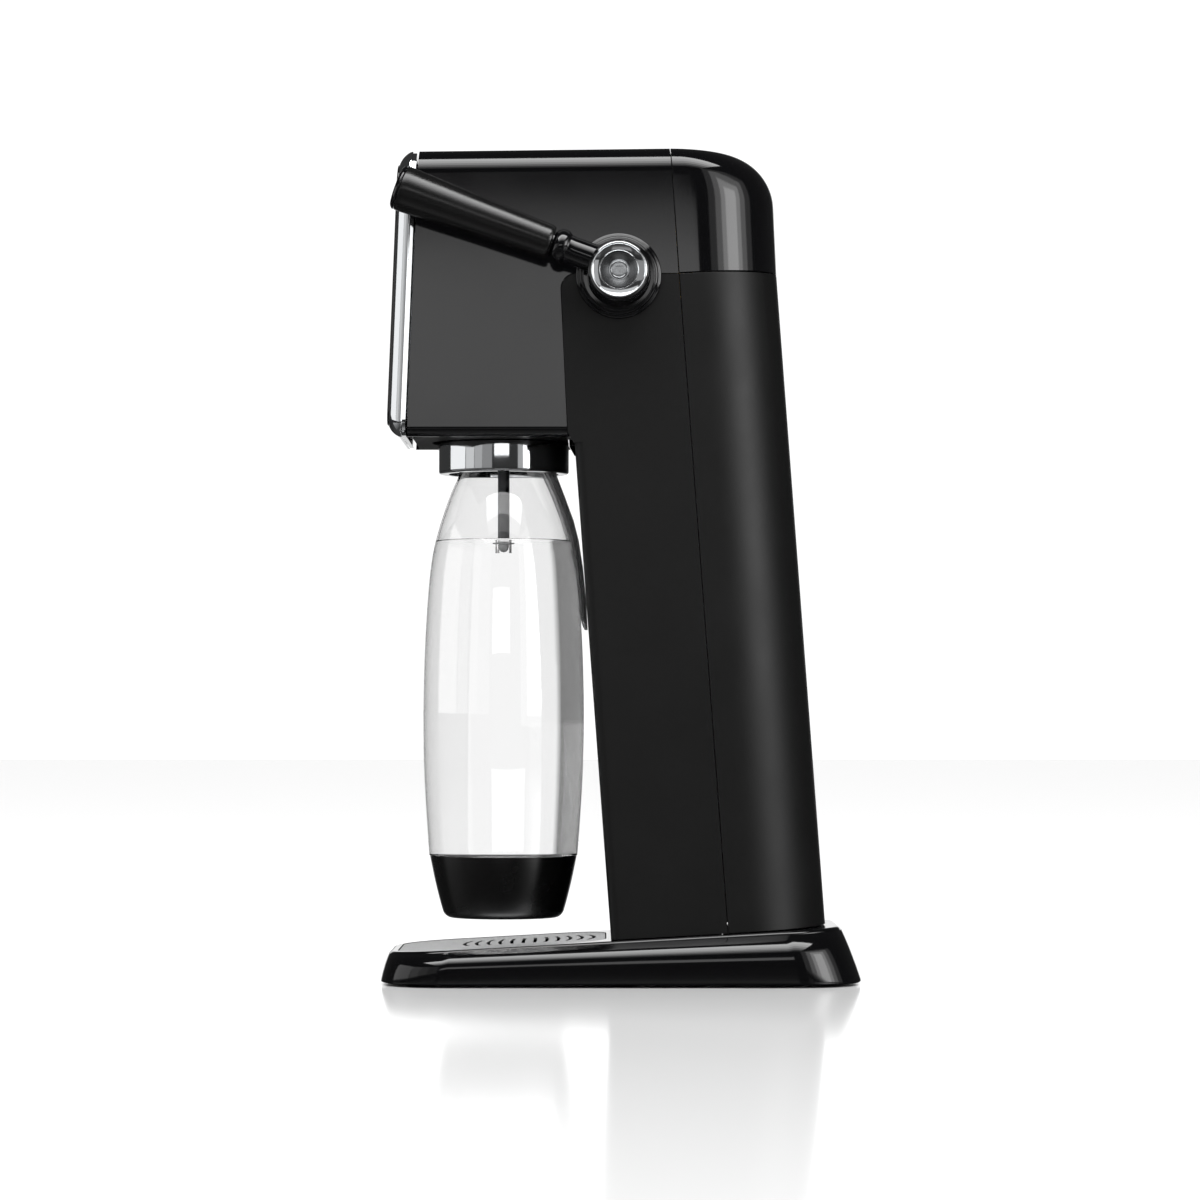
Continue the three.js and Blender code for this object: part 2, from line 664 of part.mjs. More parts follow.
/** Gas hose from the valve block down to the swivel on the carriage axis. */
function gasHose() {
  const stops = [[-16.4, 20, 381], [-19.5, 20, 381], [-21, 13, 374], [-20.5, 3, 352],
    [-20.5, -6, 322], [-17, -6, 302], [-15.4, -5.5, 291], [-15.4, -9, 287.2], [-15.4, -13.3, 287]];
  const route = new THREE.CatmullRomCurve3(stops.map((p) => new THREE.Vector3(...p)));
  return pipe(route, 2.2, 24, 8);
}

// ---------------------------------------------------------------- bottle carriage

function swingPin() {
  return turnedAlongX(rodProfile(3, -33, 46), 12).translate(0, SWING_Y, SWING_Z);
}

/** Cup over the bottle mouth, with the arm that reaches back to the swing pin. */
function carriageBody() {
  const cup = turned([[26.2, COLLAR_BOTTOM + 3], [28.4, COLLAR_BOTTOM + 3], [28.4, COLLAR_TOP + GAP],
    [33, COLLAR_TOP + GAP], [33, COLLAR_TOP + 3], [25, COLLAR_TOP + 7], [22, 306], [4.2, 306],
    [4.2, 301.5], [17.5, 301.5], [17.5, MOUTH_Z - 6], [26.2, COLLAR_TOP - 2],
    [26.2, COLLAR_BOTTOM + 3]], 24).translate(0, BOTTLE_Y, 0);
  const arm = box(-12, 12, BOTTLE_Y + 20, SWING_Y, SWING_Z - 3, SWING_Z + 4);
  const barrel = turnedAlongX(rodProfile(5.4, -12, 12), 16).translate(0, SWING_Y, SWING_Z);
  const room = turned([[0, 200], [26.2, 200], [26.2, COLLAR_TOP - 2], [17.5, MOUTH_Z - 6],
    [17.5, 301.5], [0, 301.5]], 24).translate(0, BOTTLE_Y, 0);
  const pinHole = turnedAlongX(rodProfile(3 + GAP, -40, 40), 12).translate(0, SWING_Y, SWING_Z);
  return cut(join(cup, cut(arm, room), barrel), pinHole);
}

/** Banjo ring on the swing pin that lets the gas line turn with the carriage. */
function hoseSwivel() {
  return turnedAlongX(ringProfile(3 + GAP, 6, -18, -12 - GAP), 12).translate(0, SWING_Y, SWING_Z);
}

/** Rigid gas line from the swivel to the top of the nozzle. */
function feedPipe() {
  const stops = [[-15.4, SWING_Y - 6.4, SWING_Z + 1], [-15.4, -33, 293], [-14, -42, 307],
    [-12.4, -53, 312], [-7.6, BOTTLE_Y + 2.5, 312]];
  const route = new THREE.CatmullRomCurve3(stops.map((p) => new THREE.Vector3(...p)));
  return pipe(route, 1.6, 16, 8);
}

function collarRing() {
  return turned([[28.8, COLLAR_BOTTOM], [COLLAR_RADIUS - 1.4, COLLAR_BOTTOM],
    [COLLAR_RADIUS, COLLAR_BOTTOM + 1.2], [COLLAR_RADIUS, COLLAR_TOP - 0.4],
    [COLLAR_RADIUS - 0.5, COLLAR_TOP], [28.8, COLLAR_TOP], [28.8, COLLAR_BOTTOM]], 32)
    .translate(0, BOTTLE_Y, 0);
}

function bottleSeal() {
  return turned(ringProfile(4.4, 16.8, MOUTH_Z + GAP, 301.5 - GAP), 24).translate(0, BOTTLE_Y, 0);
}

function nozzleTube() {
  return turned([[0, 229], [3.1, 229], [3.1, 303], [3.9, 303], [3.9, 309], [7, 309], [7, 315],
    [0, 315]], 16).translate(0, BOTTLE_Y, 0);
}

function nozzleTip() {
  return turned([[0, 222], [1.7, 222.8], [2.6, 225], [2.8, 227.6], [4.4, 227.8], [4.4, 228.6],
    [0, 228.6]], 16).translate(0, BOTTLE_Y, 0);
}

/** Thin leaf behind the bottle that steers it upright. */
function bottleGuide() {
  const inner = [[26.8, 268], [26.8, 264.5], [31.6, 252], [35.6, 241], [38.4, 230], [40.6, 216],
    [42.3, 198], [43.1, 182]];
  const outer = inner.map(([r, z]) => [r + 1.1, z]);
  const leaf = turned([...outer.slice().reverse(), ...inner, outer[outer.length - 1]], 60);
  const window = roundedBlock(15, 183, COLLAR_BOTTOM + 2.6, 11, 1);
  const block = layered(window, [-50, 60], (x, z, y) => [x, -y, z], 5);
  return common(leaf, cut(block, box(-60, 60, -80, 5, 100, 300))).translate(0, BOTTLE_Y, 0);
}

// ---------------------------------------------------------------- bottle

const CUP_RIM = 65;

/** Outer side line of the bottle, from the rim of its base cup to the neck. */
const bottleSide = new THREE.SplineCurve([[38.9, CUP_RIM + GAP], [41.5, 106], [42.2, 142], [40.9, 184],
  [37.4, 222], [29.4, 250.5], [19.5, 272]].map(([r, z]) => new THREE.Vector2(r, z)));

function bottleBody() {
  const wall = 1.2;
  const side = bottleSide.getPoints(8).map((p) => [p.x, p.y]);
  const foot = [[0, 40], [16, 36.6], [27, 37.2], [33, 46], [36.6, 60], [36.9, CUP_RIM + GAP]];
  const neck = [[15.4, 277], [17, 279], [17, 281], [14.2, 282], [14.2, MOUTH_Z]];
  const insideNeck = [[11.6, MOUTH_Z], [11.6, 279], [13.6, 276.6]];
  const inside = side.map(([r, z]) => [r - wall, z]).reverse();
  const insideFoot = [[35.6, 60], [32, 47], [26.4, 38.6], [16, 38], [0, 41.4]];
  return turned([...foot, ...side, ...neck, ...insideNeck, ...inside, ...insideFoot], 24)
    .translate(0, BOTTLE_Y, 0);
}

function bottleBaseCup() {
  return turned([[0, BOTTLE_FOOT + 1.4], [22, BOTTLE_FOOT + 1.4], [24, BOTTLE_FOOT], [28.4, BOTTLE_FOOT],
    [31.2, BOTTLE_FOOT + 2.2], [33, 41], [35.8, 52], [38.4, CUP_RIM], [37.4, CUP_RIM], [37.2, 60],
    [33.6, 45.8], [28, 36.2], [0, 35.4]], 24).translate(0, BOTTLE_Y, 0);
}

// ---------------------------------------------------------------- assembly

const machine = new THREE.Group();

/** Makes a named piece. */
function piece(name, geometry, finish) {
  const mesh = new THREE.Mesh(geometry, finish);
  mesh.name = name;
  return mesh;
}

function add(name, geometry, finish) {
  machine.add(piece(name, geometry, finish));
}

add('base_housing', baseHousing(), glossBlack);
add('base_bottom_plate', baseBottomPlate(), softBlack);
for (const [label, y] of [['front', -104], ['middle', 0], ['rear', 110]]) {
  add(`foot_strip_${label}`, footStrip(72).translate(0, y, 0), rubber);
}
BOTTOM_SCREWS.forEach(([x, y], i) => {
  add(`bottom_screw_${i + 1}`, bottomScrew().translate(x, y, BASE_BOTTOM), steel);
});
add('drip_plate', dripPlate(), satinSteel);
add('drip_basin', dripBasin(), softBlack);

add('column_shell', columnShell(), satinBlack);
add('rear_cover', rearCover(), satinBlack);
add('cover_button', coverButton(), softBlack);
add('rear_cap', rearCap(), glossBlack);
add('head_shell', headShell(), glossBlack);
add('head_bottom_cover', headBottomCover(), softBlack);
add('head_bezel', headBezel(), chrome);
add('front_panel', frontPanel(), glossBlack);
add('chassis', chassis(), nylon);

const lever = new THREE.Group();
lever.position.set(0, PIVOT_Y, PIVOT_Z);
const raised = new THREE.Group();
raised.rotation.x = -rad(LEVER_RISE);
raised.add(piece('lever_arm', leverArm(), glossBlack), piece('lever_grip', leverGrip(), glossBlack),
  piece('grip_end_cap', gripEndCap(), glossBlack));
lever.add(raised, piece('hub_cap', hubCap(), chrome), piece('hub_screw', hubScrew(), steel),
  piece('lever_shaft', leverShaft(), steel), piece('lever_cam', leverCam(), nylon),
  piece('retaining_ring', retainingRing(), steel));
machine.add(lever);
add('lever_pedestal', leverPedestal().translate(0, PIVOT_Y, PIVOT_Z), glossBlack);
add('shaft_bush_right', shaftBush(CHEEK.right - 1, CHEEK.right + CHEEK.thick + 2)
  .translate(0, PIVOT_Y, PIVOT_Z), brass);
add('shaft_bush_left', shaftBush(CHEEK.left - 1, CHEEK.left + CHEEK.thick + 2)
  .translate(0, PIVOT_Y, PIVOT_Z), brass);
add('lever_return_spring', leverReturnSpring().translate(14, PIVOT_Y, PIVOT_Z), steel);

machine.add(cylinderFrame(
  piece('gas_cylinder', gasCylinder(), cylinderPaint),
  piece('cylinder_valve', cylinderValve(), brass),
  piece('valve_block', valveBlock(), brass),
  piece('valve_plunger', valvePlunger(-18.4), steel),
  piece('plunger_spring', plungerSpring(-15.3, -12.5), steel),
  piece('relief_valve', reliefValve(), steel),
));
add('cylinder_cradle', cylinderCradle().rotateX(Math.atan(COLUMN_LEAN))
  .translate(0, leaning((COLUMN_FRONT + COLUMN_REAR) / 2, CYLINDER_FOOT_Z), CYLINDER_FOOT_Z), nylon);
add('gas_hose', gasHose(), softBlack);

add('swing_pin', swingPin(), steel);
add('hose_swivel', hoseSwivel(), brass);
add('feed_pipe', feedPipe(), steel);
add('carriage_body', carriageBody(), softBlack);
add('collar_ring', collarRing(), chrome);
add('bottle_seal', bottleSeal(), siliconeGrey);
add('nozzle_tube', nozzleTube(), softBlack);
add('nozzle_tip', nozzleTip(), siliconeGrey);
add('bottle_guide', bottleGuide(), satinSteel);
add('bottle_body', bottleBody(), clearPlastic);
add('bottle_base_cup', bottleBaseCup(), softBlack);

export default machine;
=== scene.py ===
# %% [markdown]
# # A lever-operated soda carbonator
# The machine stands on a flared base with a drip tray. A leaning column holds the gas cylinder, the
# head holds the valve gear, and a clear bottle hangs from a chrome collar under the head. Pulling the
# lever turns a cam that opens the valve. Everything here is made in millimetres, because that is how
# a toolmaker would draw it, and turned into metres only when a mesh is written.

# %% The frame
import bmesh
import bpy
import math
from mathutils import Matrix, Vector


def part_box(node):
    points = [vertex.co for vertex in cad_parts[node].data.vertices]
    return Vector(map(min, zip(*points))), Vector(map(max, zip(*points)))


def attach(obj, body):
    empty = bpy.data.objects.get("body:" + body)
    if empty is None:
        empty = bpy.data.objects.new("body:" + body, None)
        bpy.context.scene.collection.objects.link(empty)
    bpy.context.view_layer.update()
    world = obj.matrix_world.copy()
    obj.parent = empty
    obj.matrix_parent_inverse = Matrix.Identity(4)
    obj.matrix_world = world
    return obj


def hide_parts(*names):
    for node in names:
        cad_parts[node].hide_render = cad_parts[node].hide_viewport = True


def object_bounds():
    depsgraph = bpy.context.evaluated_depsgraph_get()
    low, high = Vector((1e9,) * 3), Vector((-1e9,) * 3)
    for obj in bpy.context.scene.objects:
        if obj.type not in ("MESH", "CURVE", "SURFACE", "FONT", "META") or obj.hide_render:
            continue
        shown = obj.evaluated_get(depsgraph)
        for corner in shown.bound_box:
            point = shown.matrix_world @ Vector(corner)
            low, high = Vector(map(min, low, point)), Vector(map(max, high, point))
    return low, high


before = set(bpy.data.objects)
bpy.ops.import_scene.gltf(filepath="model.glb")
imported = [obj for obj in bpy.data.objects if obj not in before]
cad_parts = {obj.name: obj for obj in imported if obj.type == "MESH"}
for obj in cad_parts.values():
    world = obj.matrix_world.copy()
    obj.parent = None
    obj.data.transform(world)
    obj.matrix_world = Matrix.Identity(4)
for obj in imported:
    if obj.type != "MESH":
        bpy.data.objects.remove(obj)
cad_box = [list(corner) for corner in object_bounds()]
MM = 0.001
print("the machine is", [round((high - low) / MM, 1) for low, high in zip(*cad_box)], "mm")

# %% [markdown]
# ## Camera
# The camera looks straight at the right-hand side, from a little above the worktop, with a long lens
# so that the lever, the bottle and the column keep their true proportions.

# %% Camera
camera = bpy.data.objects.new("side_camera", bpy.data.cameras.new("side_camera"))
bpy.context.scene.collection.objects.link(camera)
camera.location = (2.15, -0.0109, 0.1359)
aim = Vector((0.0, -0.0109, 0.1989))
camera.rotation_euler = (aim - camera.location).to_track_quat("-Z", "Y").to_euler()
camera.data.lens = 122.9
camera.data.sensor_width = 36.0
bpy.context.scene.camera = camera
print("lens", camera.data.lens, "mm at", round((aim - camera.location).length, 3), "m")

# %% [markdown]
# ## Studio
# Glossy black shows only what it mirrors, so the lights are drawn as the shapes we want to see in it:
# a white wall behind, one low broad panel beside the camera, a nest of panels towards the back that
# is brightest in its middle, a row of panels round the front that fades towards the camera, and
# strips overhead that grow weaker outwards and draw the soft light line along the head. The room is
# white to the eye and dim to a mirror. Through clear plastic it is dimmed a little, which is painted
# shade that greys the bottle. A dark curtain in the far corner of the room shows only through the
# water, where it gives the bottle its darker edge.

# %% Studio helpers
def add_node(tree, kind, settings=None, links=None):
    """Adds a node; settings fill its sockets or properties, links feed its sockets."""
    node = tree.nodes.new(kind)
    for name, value in (settings or {}).items():
        if isinstance(name, int) or name in node.inputs:
            node.inputs[name].default_value = value
        else:
            setattr(node, name, value)
    for name, source in (links or {}).items():
        tree.links.new(source, node.inputs[name])
    return node


def colour(code):
    """Linear red, green, blue and alpha of an sRGB hex code."""
    parts = [int(code[i:i + 2], 16) / 255 for i in (1, 3, 5)]
    linear = [p / 12.92 if p <= 0.04045 else ((p + 0.055) / 1.055) ** 2.4 for p in parts]
    return (*linear, 1.0)


def panel_light(name, centre, towards, size, brightness):
    """A soft panel of the given size in metres; brightness is what a mirror sees in it."""
    lamp = bpy.data.lights.new(name, "AREA")
    lamp.shape = "RECTANGLE"
    lamp.size, lamp.size_y = size
    lamp.energy = math.pi * size[0] * size[1] * brightness
    panel = bpy.data.objects.new(name, lamp)
    panel.location = centre
    panel.rotation_euler = (Vector(towards) - Vector(centre)).to_track_quat("-Z", "Y").to_euler()
    panel.visible_camera = False
    bpy.context.scene.collection.objects.link(panel)
    print(name, "panel,", size, "m, brightness", brightness)
    return panel


def curtain_share(tree, direction):
    """How far the dark curtain in the far corner covers a direction, from 0 to 1."""
    parts = add_node(tree, "ShaderNodeSeparateXYZ", None, {0: direction})
    sideways = add_node(tree, "ShaderNodeMapRange",
                        {"From Min": -0.38, "From Max": -0.45, "To Min": 0.0, "To Max": 1.0},
                        {"Value": parts.outputs["Y"]})
    far_half = add_node(tree, "ShaderNodeMapRange",
                        {"From Min": -0.2, "From Max": -0.4, "To Min": 0.0, "To Max": 1.0},
                        {"Value": parts.outputs["X"]})
    return add_node(tree, "ShaderNodeMath", {"operation": "MULTIPLY"},
                    {0: sideways.outputs[0], 1: far_half.outputs[0]})


# %% Room and lights
bpy.context.scene.view_settings.view_transform = "Standard"
room = bpy.data.worlds.new("white_room")
bpy.context.scene.world = room
room.use_nodes = True
room.node_tree.nodes.clear()
ray = add_node(room.node_tree, "ShaderNodeLightPath")
through = add_node(room.node_tree, "ShaderNodeMath", {"operation": "MAXIMUM"},
                   {0: ray.outputs["Is Camera Ray"], 1: ray.outputs["Is Transmission Ray"]})
plain = add_node(room.node_tree, "ShaderNodeMath", {"operation": "MAXIMUM"},
                 {0: through.outputs[0], 1: ray.outputs["Is Diffuse Ray"]})
heading = add_node(room.node_tree, "ShaderNodeTexCoord")
compass = add_node(room.node_tree, "ShaderNodeSeparateXYZ", None, {0: heading.outputs["Generated"]})
wall = add_node(room.node_tree, "ShaderNodeMapRange",
                {"From Min": -0.94, "From Max": -0.97, "To Min": 0.0, "To Max": 1.0},
                {"Value": compass.outputs["X"]})
bright = add_node(room.node_tree, "ShaderNodeMath", {"operation": "MAXIMUM"},
                  {0: plain.outputs[0], 1: wall.outputs[0]})
level = add_node(room.node_tree, "ShaderNodeMapRange", {"To Min": 0.04, "To Max": 1.12},
                 {"Value": bright.outputs[0]})
curtain = curtain_share(room.node_tree, heading.outputs["Generated"])
drawn = add_node(room.node_tree, "ShaderNodeMath", {"operation": "MULTIPLY", 1: 0.86},
                 {0: curtain.outputs[0]})
# Seen through clear plastic the room is dimmed by at least 0.14: painted shade that greys the bottle.
least_shade_through_plastic = add_node(room.node_tree, "ShaderNodeMath", {"operation": "MAXIMUM", 1: 0.14},
                {0: drawn.outputs[0]})
shade = add_node(room.node_tree, "ShaderNodeMath", {"operation": "MULTIPLY"},
                 {0: least_shade_through_plastic.outputs[0], 1: ray.outputs["Is Transmission Ray"]})
left_over = add_node(room.node_tree, "ShaderNodeMath", {"operation": "SUBTRACT", 0: 1.0},
                     {1: shade.outputs[0]})
strength = add_node(room.node_tree, "ShaderNodeMath", {"operation": "MULTIPLY"},
                    {0: level.outputs[0], 1: left_over.outputs[0]})
glow = add_node(room.node_tree, "ShaderNodeBackground", {"Color": colour("#ffffff")},
                {"Strength": strength.outputs[0]})
add_node(room.node_tree, "ShaderNodeOutputWorld", None, {"Surface": glow.outputs[0]})

panel_light("beside_camera", (2.5, -0.165, 0.535), (0.0, -0.165, 0.535), (1.13, 0.26), 0.6)
panel_light("beside_camera_tall", (2.53, -0.165, 0.562), (0.0, -0.165, 0.562), (1.15, 0.315), 0.95)

rear_side = [(2.20, 0.62, 0.8, 0.60, 2.4), (2.24, 1.15, 1.0, 0.68, 2.0), (2.28, 1.9, 1.3, 0.80, 1.2),
             (2.32, 2.9, 1.6, 0.90, 0.4)]
rear_angle = math.radians(57)
for distance, width, height, middle, brightness in rear_side:
    spot = (distance * math.cos(rear_angle), distance * math.sin(rear_angle), middle)
    panel_light("rear_side_%d" % (width * 100), spot, (0.0, 0.0, middle), (width, height), brightness)

front_row = [(-88, 1.46, 1.05), (-61, 0.66, 0.65), (-45, 0.58, 0.42), (-29, 0.69, 0.25)]
for angle, width, brightness in front_row:
    turn = math.radians(angle)
    spot = (2.25 * math.cos(turn), 2.25 * math.sin(turn), 0.65)
    panel_light("front_row_%d" % -angle, spot, (0.0, 0.0, 0.3), (width, 1.0), brightness)

overhead = [(0.31, 0.59, 8.5), (0.59, 0.90, 7.0), (0.90, 1.26, 4.6), (1.26, 1.7, 2.2), (1.7, 2.2, 0.6)]
for near, far, brightness in overhead:
    middle = (near + far) / 2
    panel_light("overhead_%d" % (near * 100), (middle, 0.0, 1.6), (middle, 0.0, 0.0),
                (far - near, 2.2), brightness)

# %% [markdown]
# ## Floor
# A pale polished board. At the camera's low angle it mirrors the foot of the machine and lets the
# mirror image fade out, which is what sets the machine down on it. To a mirror the board is dark, so
# the black side of the base stays black, and through the water it is as white as the wall.

# %% Floor
def floor_board(half, tread):
    """A flat board under the machine, its top at the height of the machine's lowest point."""
    mesh = bpy.data.meshes.new("floor_board")
    corners = [(-half, -half), (half, -half), (half, half), (-half, half)]
    mesh.from_pydata([(x, y, tread) for x, y in corners], [], [(0, 1, 2, 3)])
    board = bpy.data.objects.new("floor_board", mesh)
    bpy.context.scene.collection.objects.link(board)
    finish = bpy.data.materials.new("polished_white_board")
    finish.use_nodes = True
    tree = finish.node_tree
    tree.nodes.clear()
    seen = add_node(tree, "ShaderNodeLightPath")
    tone = add_node(tree, "ShaderNodeMix", {"data_type": "RGBA", 6: colour("#d8d8d8"),
                                            7: colour("#2c2c2c")},
                    {0: seen.outputs["Is Glossy Ray"]})
    skin = add_node(tree, "ShaderNodeBsdfPrincipled", {"Roughness": 0.12, "IOR": 1.45},
                    {"Base Color": tone.outputs[2]})
    spot = add_node(tree, "ShaderNodeTexCoord")
    apart = add_node(tree, "ShaderNodeVectorMath", {"operation": "MULTIPLY_ADD", 1: (1, 1, 0),
                                                    2: (0, 0.06, 0)},
                     {0: spot.outputs["Object"]})
    heading = add_node(tree, "ShaderNodeVectorMath", {"operation": "NORMALIZE"},
                       {0: apart.outputs[0]})
    curtain = curtain_share(tree, heading.outputs[0])
    dimmed = add_node(tree, "ShaderNodeMapRange", {"To Min": 0.96, "To Max": 0.16},
                      {"Value": curtain.outputs[0]})
    glow = add_node(tree, "ShaderNodeEmission", {"Color": colour("#ffffff")},
                    {"Strength": dimmed.outputs[0]})
    sight = add_node(tree, "ShaderNodeMixShader", None,
                     {0: seen.outputs["Is Transmission Ray"], 1: skin.outputs[0], 2: glow.outputs[0]})
    add_node(tree, "ShaderNodeOutputMaterial", None, {"Surface": sight.outputs[0]})
    mesh.materials.append(finish)
    return board


floor_board(12.0, cad_box[0][2] - 0.0001)
print("floor at z =", round(cad_box[0][2] / MM, 2), "mm")

# %% [markdown]
# ## Shape helpers
# Nearly every casing of this machine is an outline pushed through a few levels, each level a little
# smaller, shifted or tilted. The turned pieces are a profile spun about an axis. Two small functions
# make both, and a third rounds the corners of a profile, because no moulded corner is truly sharp.

# %% Outlines and profiles
def rounded_block(half, low, high, low_corner, high_corner, steps=10):
    """Corner points of a block with rounded corners, anticlockwise."""
    middles = [(half - low_corner, low + low_corner, low_corner, -90),
               (half - high_corner, high - high_corner, high_corner, 0),
               (high_corner - half, high - high_corner, high_corner, 90),
               (low_corner - half, low + low_corner, low_corner, 180)]
    points = []
    for x, y, radius, start in middles:
        for step in range(steps + 1):
            turn = math.radians(start + 90 * step / steps)
            points.append((x + radius * math.cos(turn), y + radius * math.sin(turn)))
    return points


def eased(profile, steps=4):
    """Rounds each corner (a, b, size) of a closed profile; a corner without a size stays sharp."""
    points = []
    for i, corner in enumerate(profile):
        here = Vector(corner[:2])
        size = corner[2] if len(corner) > 2 else 0
        if size == 0:
            points.append(tuple(here))
            continue
        back = Vector(profile[i - 1][:2]) - here
        ahead = Vector(profile[(i + 1) % len(profile)][:2]) - here
        reach = min(size, back.length * 0.49, ahead.length * 0.49)
        start = here + back.normalized() * reach
        end = here + ahead.normalized() * reach
        for step in range(steps + 1):
            t = step / steps
            points.append(tuple(start * (1 - t) ** 2 + here * 2 * t * (1 - t) + end * t ** 2))
    return points


def curve_through(points, steps=8):
    """Points on a smooth curve through the given ones."""
    ends = [points[0], *points, points[-1]]
    found = []
    for i in range(1, len(ends) - 2):
        a, b, c, d = (Vector(p) for p in ends[i - 1:i + 3])
        for step in range(steps):
            t = step / steps
            found.append(tuple(0.5 * (2 * b + (c - a) * t + (2 * a - 5 * b + 4 * c - d) * t ** 2
                                      + (3 * b - a - 3 * c + d) * t ** 3)))
    found.append(tuple(points[-1]))
    return found


# %% Solids
def write_solid(name, points, faces):
    """Makes a closed mesh of points in millimetres, with its faces pointing outwards."""
    mesh = bpy.data.meshes.new(name)
    mesh.from_pydata([Vector(p) * MM for p in points], [], faces)
    shape = bmesh.new()
    shape.from_mesh(mesh)
    bmesh.ops.remove_doubles(shape, verts=shape.verts, dist=1e-6)
    bmesh.ops.recalc_face_normals(shape, faces=shape.faces)
    if shape.calc_volume(signed=True) < 0:
        bmesh.ops.reverse_faces(shape, faces=shape.faces)
    shape.to_mesh(mesh)
    shape.free()
    made = bpy.data.objects.new(name, mesh)
    bpy.context.scene.collection.objects.link(made)
    return made


def layered(name, outline, levels, place):
    """Pushes an outline through levels; place(a, b, level) gives each point."""
    points = [place(a, b, level) for level in levels for a, b in outline]
    count = len(outline)
    faces = [tuple(range(count)), tuple(range(len(points) - count, len(points)))]
    for row in range(len(levels) - 1):
        for i in range(count):
            j = (i + 1) % count
            low, high = row * count, (row + 1) * count
            faces.append((low + i, low + j, high + j, high + i))
    return write_solid(name, points, faces)


def turned(name, profile, centre=(0.0, 0.0), axis="Z", steps=96):
    """Spins a closed profile of (radius, place along the axis) about an axis."""
    points, rings, faces = [], [], []
    for radius, along in profile:
        ring = []
        for step in range(1 if radius == 0 else steps):
            turn = 2 * math.pi * step / steps
            a = centre[0] + radius * math.cos(turn)
            b = centre[1] + radius * math.sin(turn)
            ring.append(len(points))
            points.append((a, b, along) if axis == "Z" else (along, a, b))
        rings.append(ring)
    for low, high in zip(rings, rings[1:] + rings[:1]):
        for i in range(max(len(low), len(high))):
            j = (i + 1) % steps
            corners = (low[i % len(low)], low[j % len(low)], high[j % len(high)], high[i % len(high)])
            face = tuple(dict.fromkeys(corners))
            if len(face) > 2:
                faces.append(face)
    return write_solid(name, points, faces)


def side_plate(name, outline, x_low, x_high):
    """A plate cut from an outline in Y and Z."""
    return layered(name, outline, [x_low, x_high], lambda y, z, x: (x, y, z))


def cuboid(name, low, high):
    """A plain cutting block."""
    outline = [(low[0], low[1]), (high[0], low[1]), (high[0], high[1]), (low[0], high[1])]
    return layered(name, outline, [low[2], high[2]], lambda x, y, z: (x, y, z))


# %% Cutting, joining and edge breaking
def settle(piece):
    """Turns a piece and its modifiers into one plain mesh."""
    result = piece.evaluated_get(bpy.context.evaluated_depsgraph_get())
    mesh = bpy.data.meshes.new_from_object(result)
    piece.modifiers.clear()
    piece.data = mesh
    return piece


def shaped(piece, cut=(), join=(), keep=()):
    """Joins, cuts away and keeps the overlap with other solids, which are used up."""
    for tools, work in ((join, "UNION"), (cut, "DIFFERENCE"), (keep, "INTERSECT")):
        for tool in tools:
            step = piece.modifiers.new(work.lower(), "BOOLEAN")
            step.operation = work
            step.solver = "MANIFOLD"
            step.object = tool
    settle(piece)
    for tool in (*cut, *join, *keep):
        bpy.data.objects.remove(tool)
    return piece


def break_edges(piece, width=0.35, steps=2, angle=34):
    """Breaks the sharp edges of a moulding by a small round, then evens out its shading."""
    if width:
        bevel = piece.modifiers.new("broken_edges", "BEVEL")
        bevel.width = width * MM
        bevel.segments = steps
        bevel.limit_method = "ANGLE"
        bevel.angle_limit = math.radians(angle)
    for face in piece.data.polygons:
        face.use_smooth = True
    weight = piece.modifiers.new("even_shading", "WEIGHTED_NORMAL")
    weight.keep_sharp = True
    settle(piece)
    return piece


def smooth_turned(piece, angle=32):
    """Shades a turned piece smooth, with its real corners kept crisp."""
    for face in piece.data.polygons:
        face.use_smooth = True
    piece.data.set_sharp_from_angle(angle=math.radians(angle))
    return piece


def in_mm(node):
    """Lowest and highest corner of a CAD node in millimetres."""
    return [[value / MM for value in corner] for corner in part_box(node)]


def hand_over(piece, body, slot, finish, *nodes):
    """Gives a finished piece its material and its body, and hides the CAD nodes that it stands for."""
    piece.data.materials.clear()
    piece.data.materials.append(finish)
    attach(piece, body)
    if nodes:
        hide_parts(*nodes)
    size = [round(value / MM, 1) for value in piece.dimensions]
    print(piece.name, "on", body, "-", len(piece.data.polygons), "faces,", size, "mm")
    return piece

# %% [markdown]
# # Finishes
# ## Moulded plastic
# The head, the rear cap and the base are ABS moulded against a polished steel tool. That gives a
# deep black with a clear reflection, very slightly uneven like orange peel, and a little handling
# haze. The column uses the same plastic against a tool with a fine spark-eroded grain, so it only
# gives a broad, soft sheen. One recipe serves both: a slow unevenness in roughness, and a fine
# grain as bump. Grain finer than half a millimetre would not show, so it is drawn at that size.

# %% Moulded plastic
def start_finish(name):
    """An empty material: its node tree and the object coordinates that its patterns follow."""
    finish = bpy.data.materials.new(name)
    finish.use_nodes = True
    finish.node_tree.nodes.clear()
    place = add_node(finish.node_tree, "ShaderNodeTexCoord")
    return finish, finish.node_tree, place.outputs["Object"]


def per_mm(size):
    """Noise scale that gives a pattern of this size in millimetres."""
    return 1.0 / (size * MM)


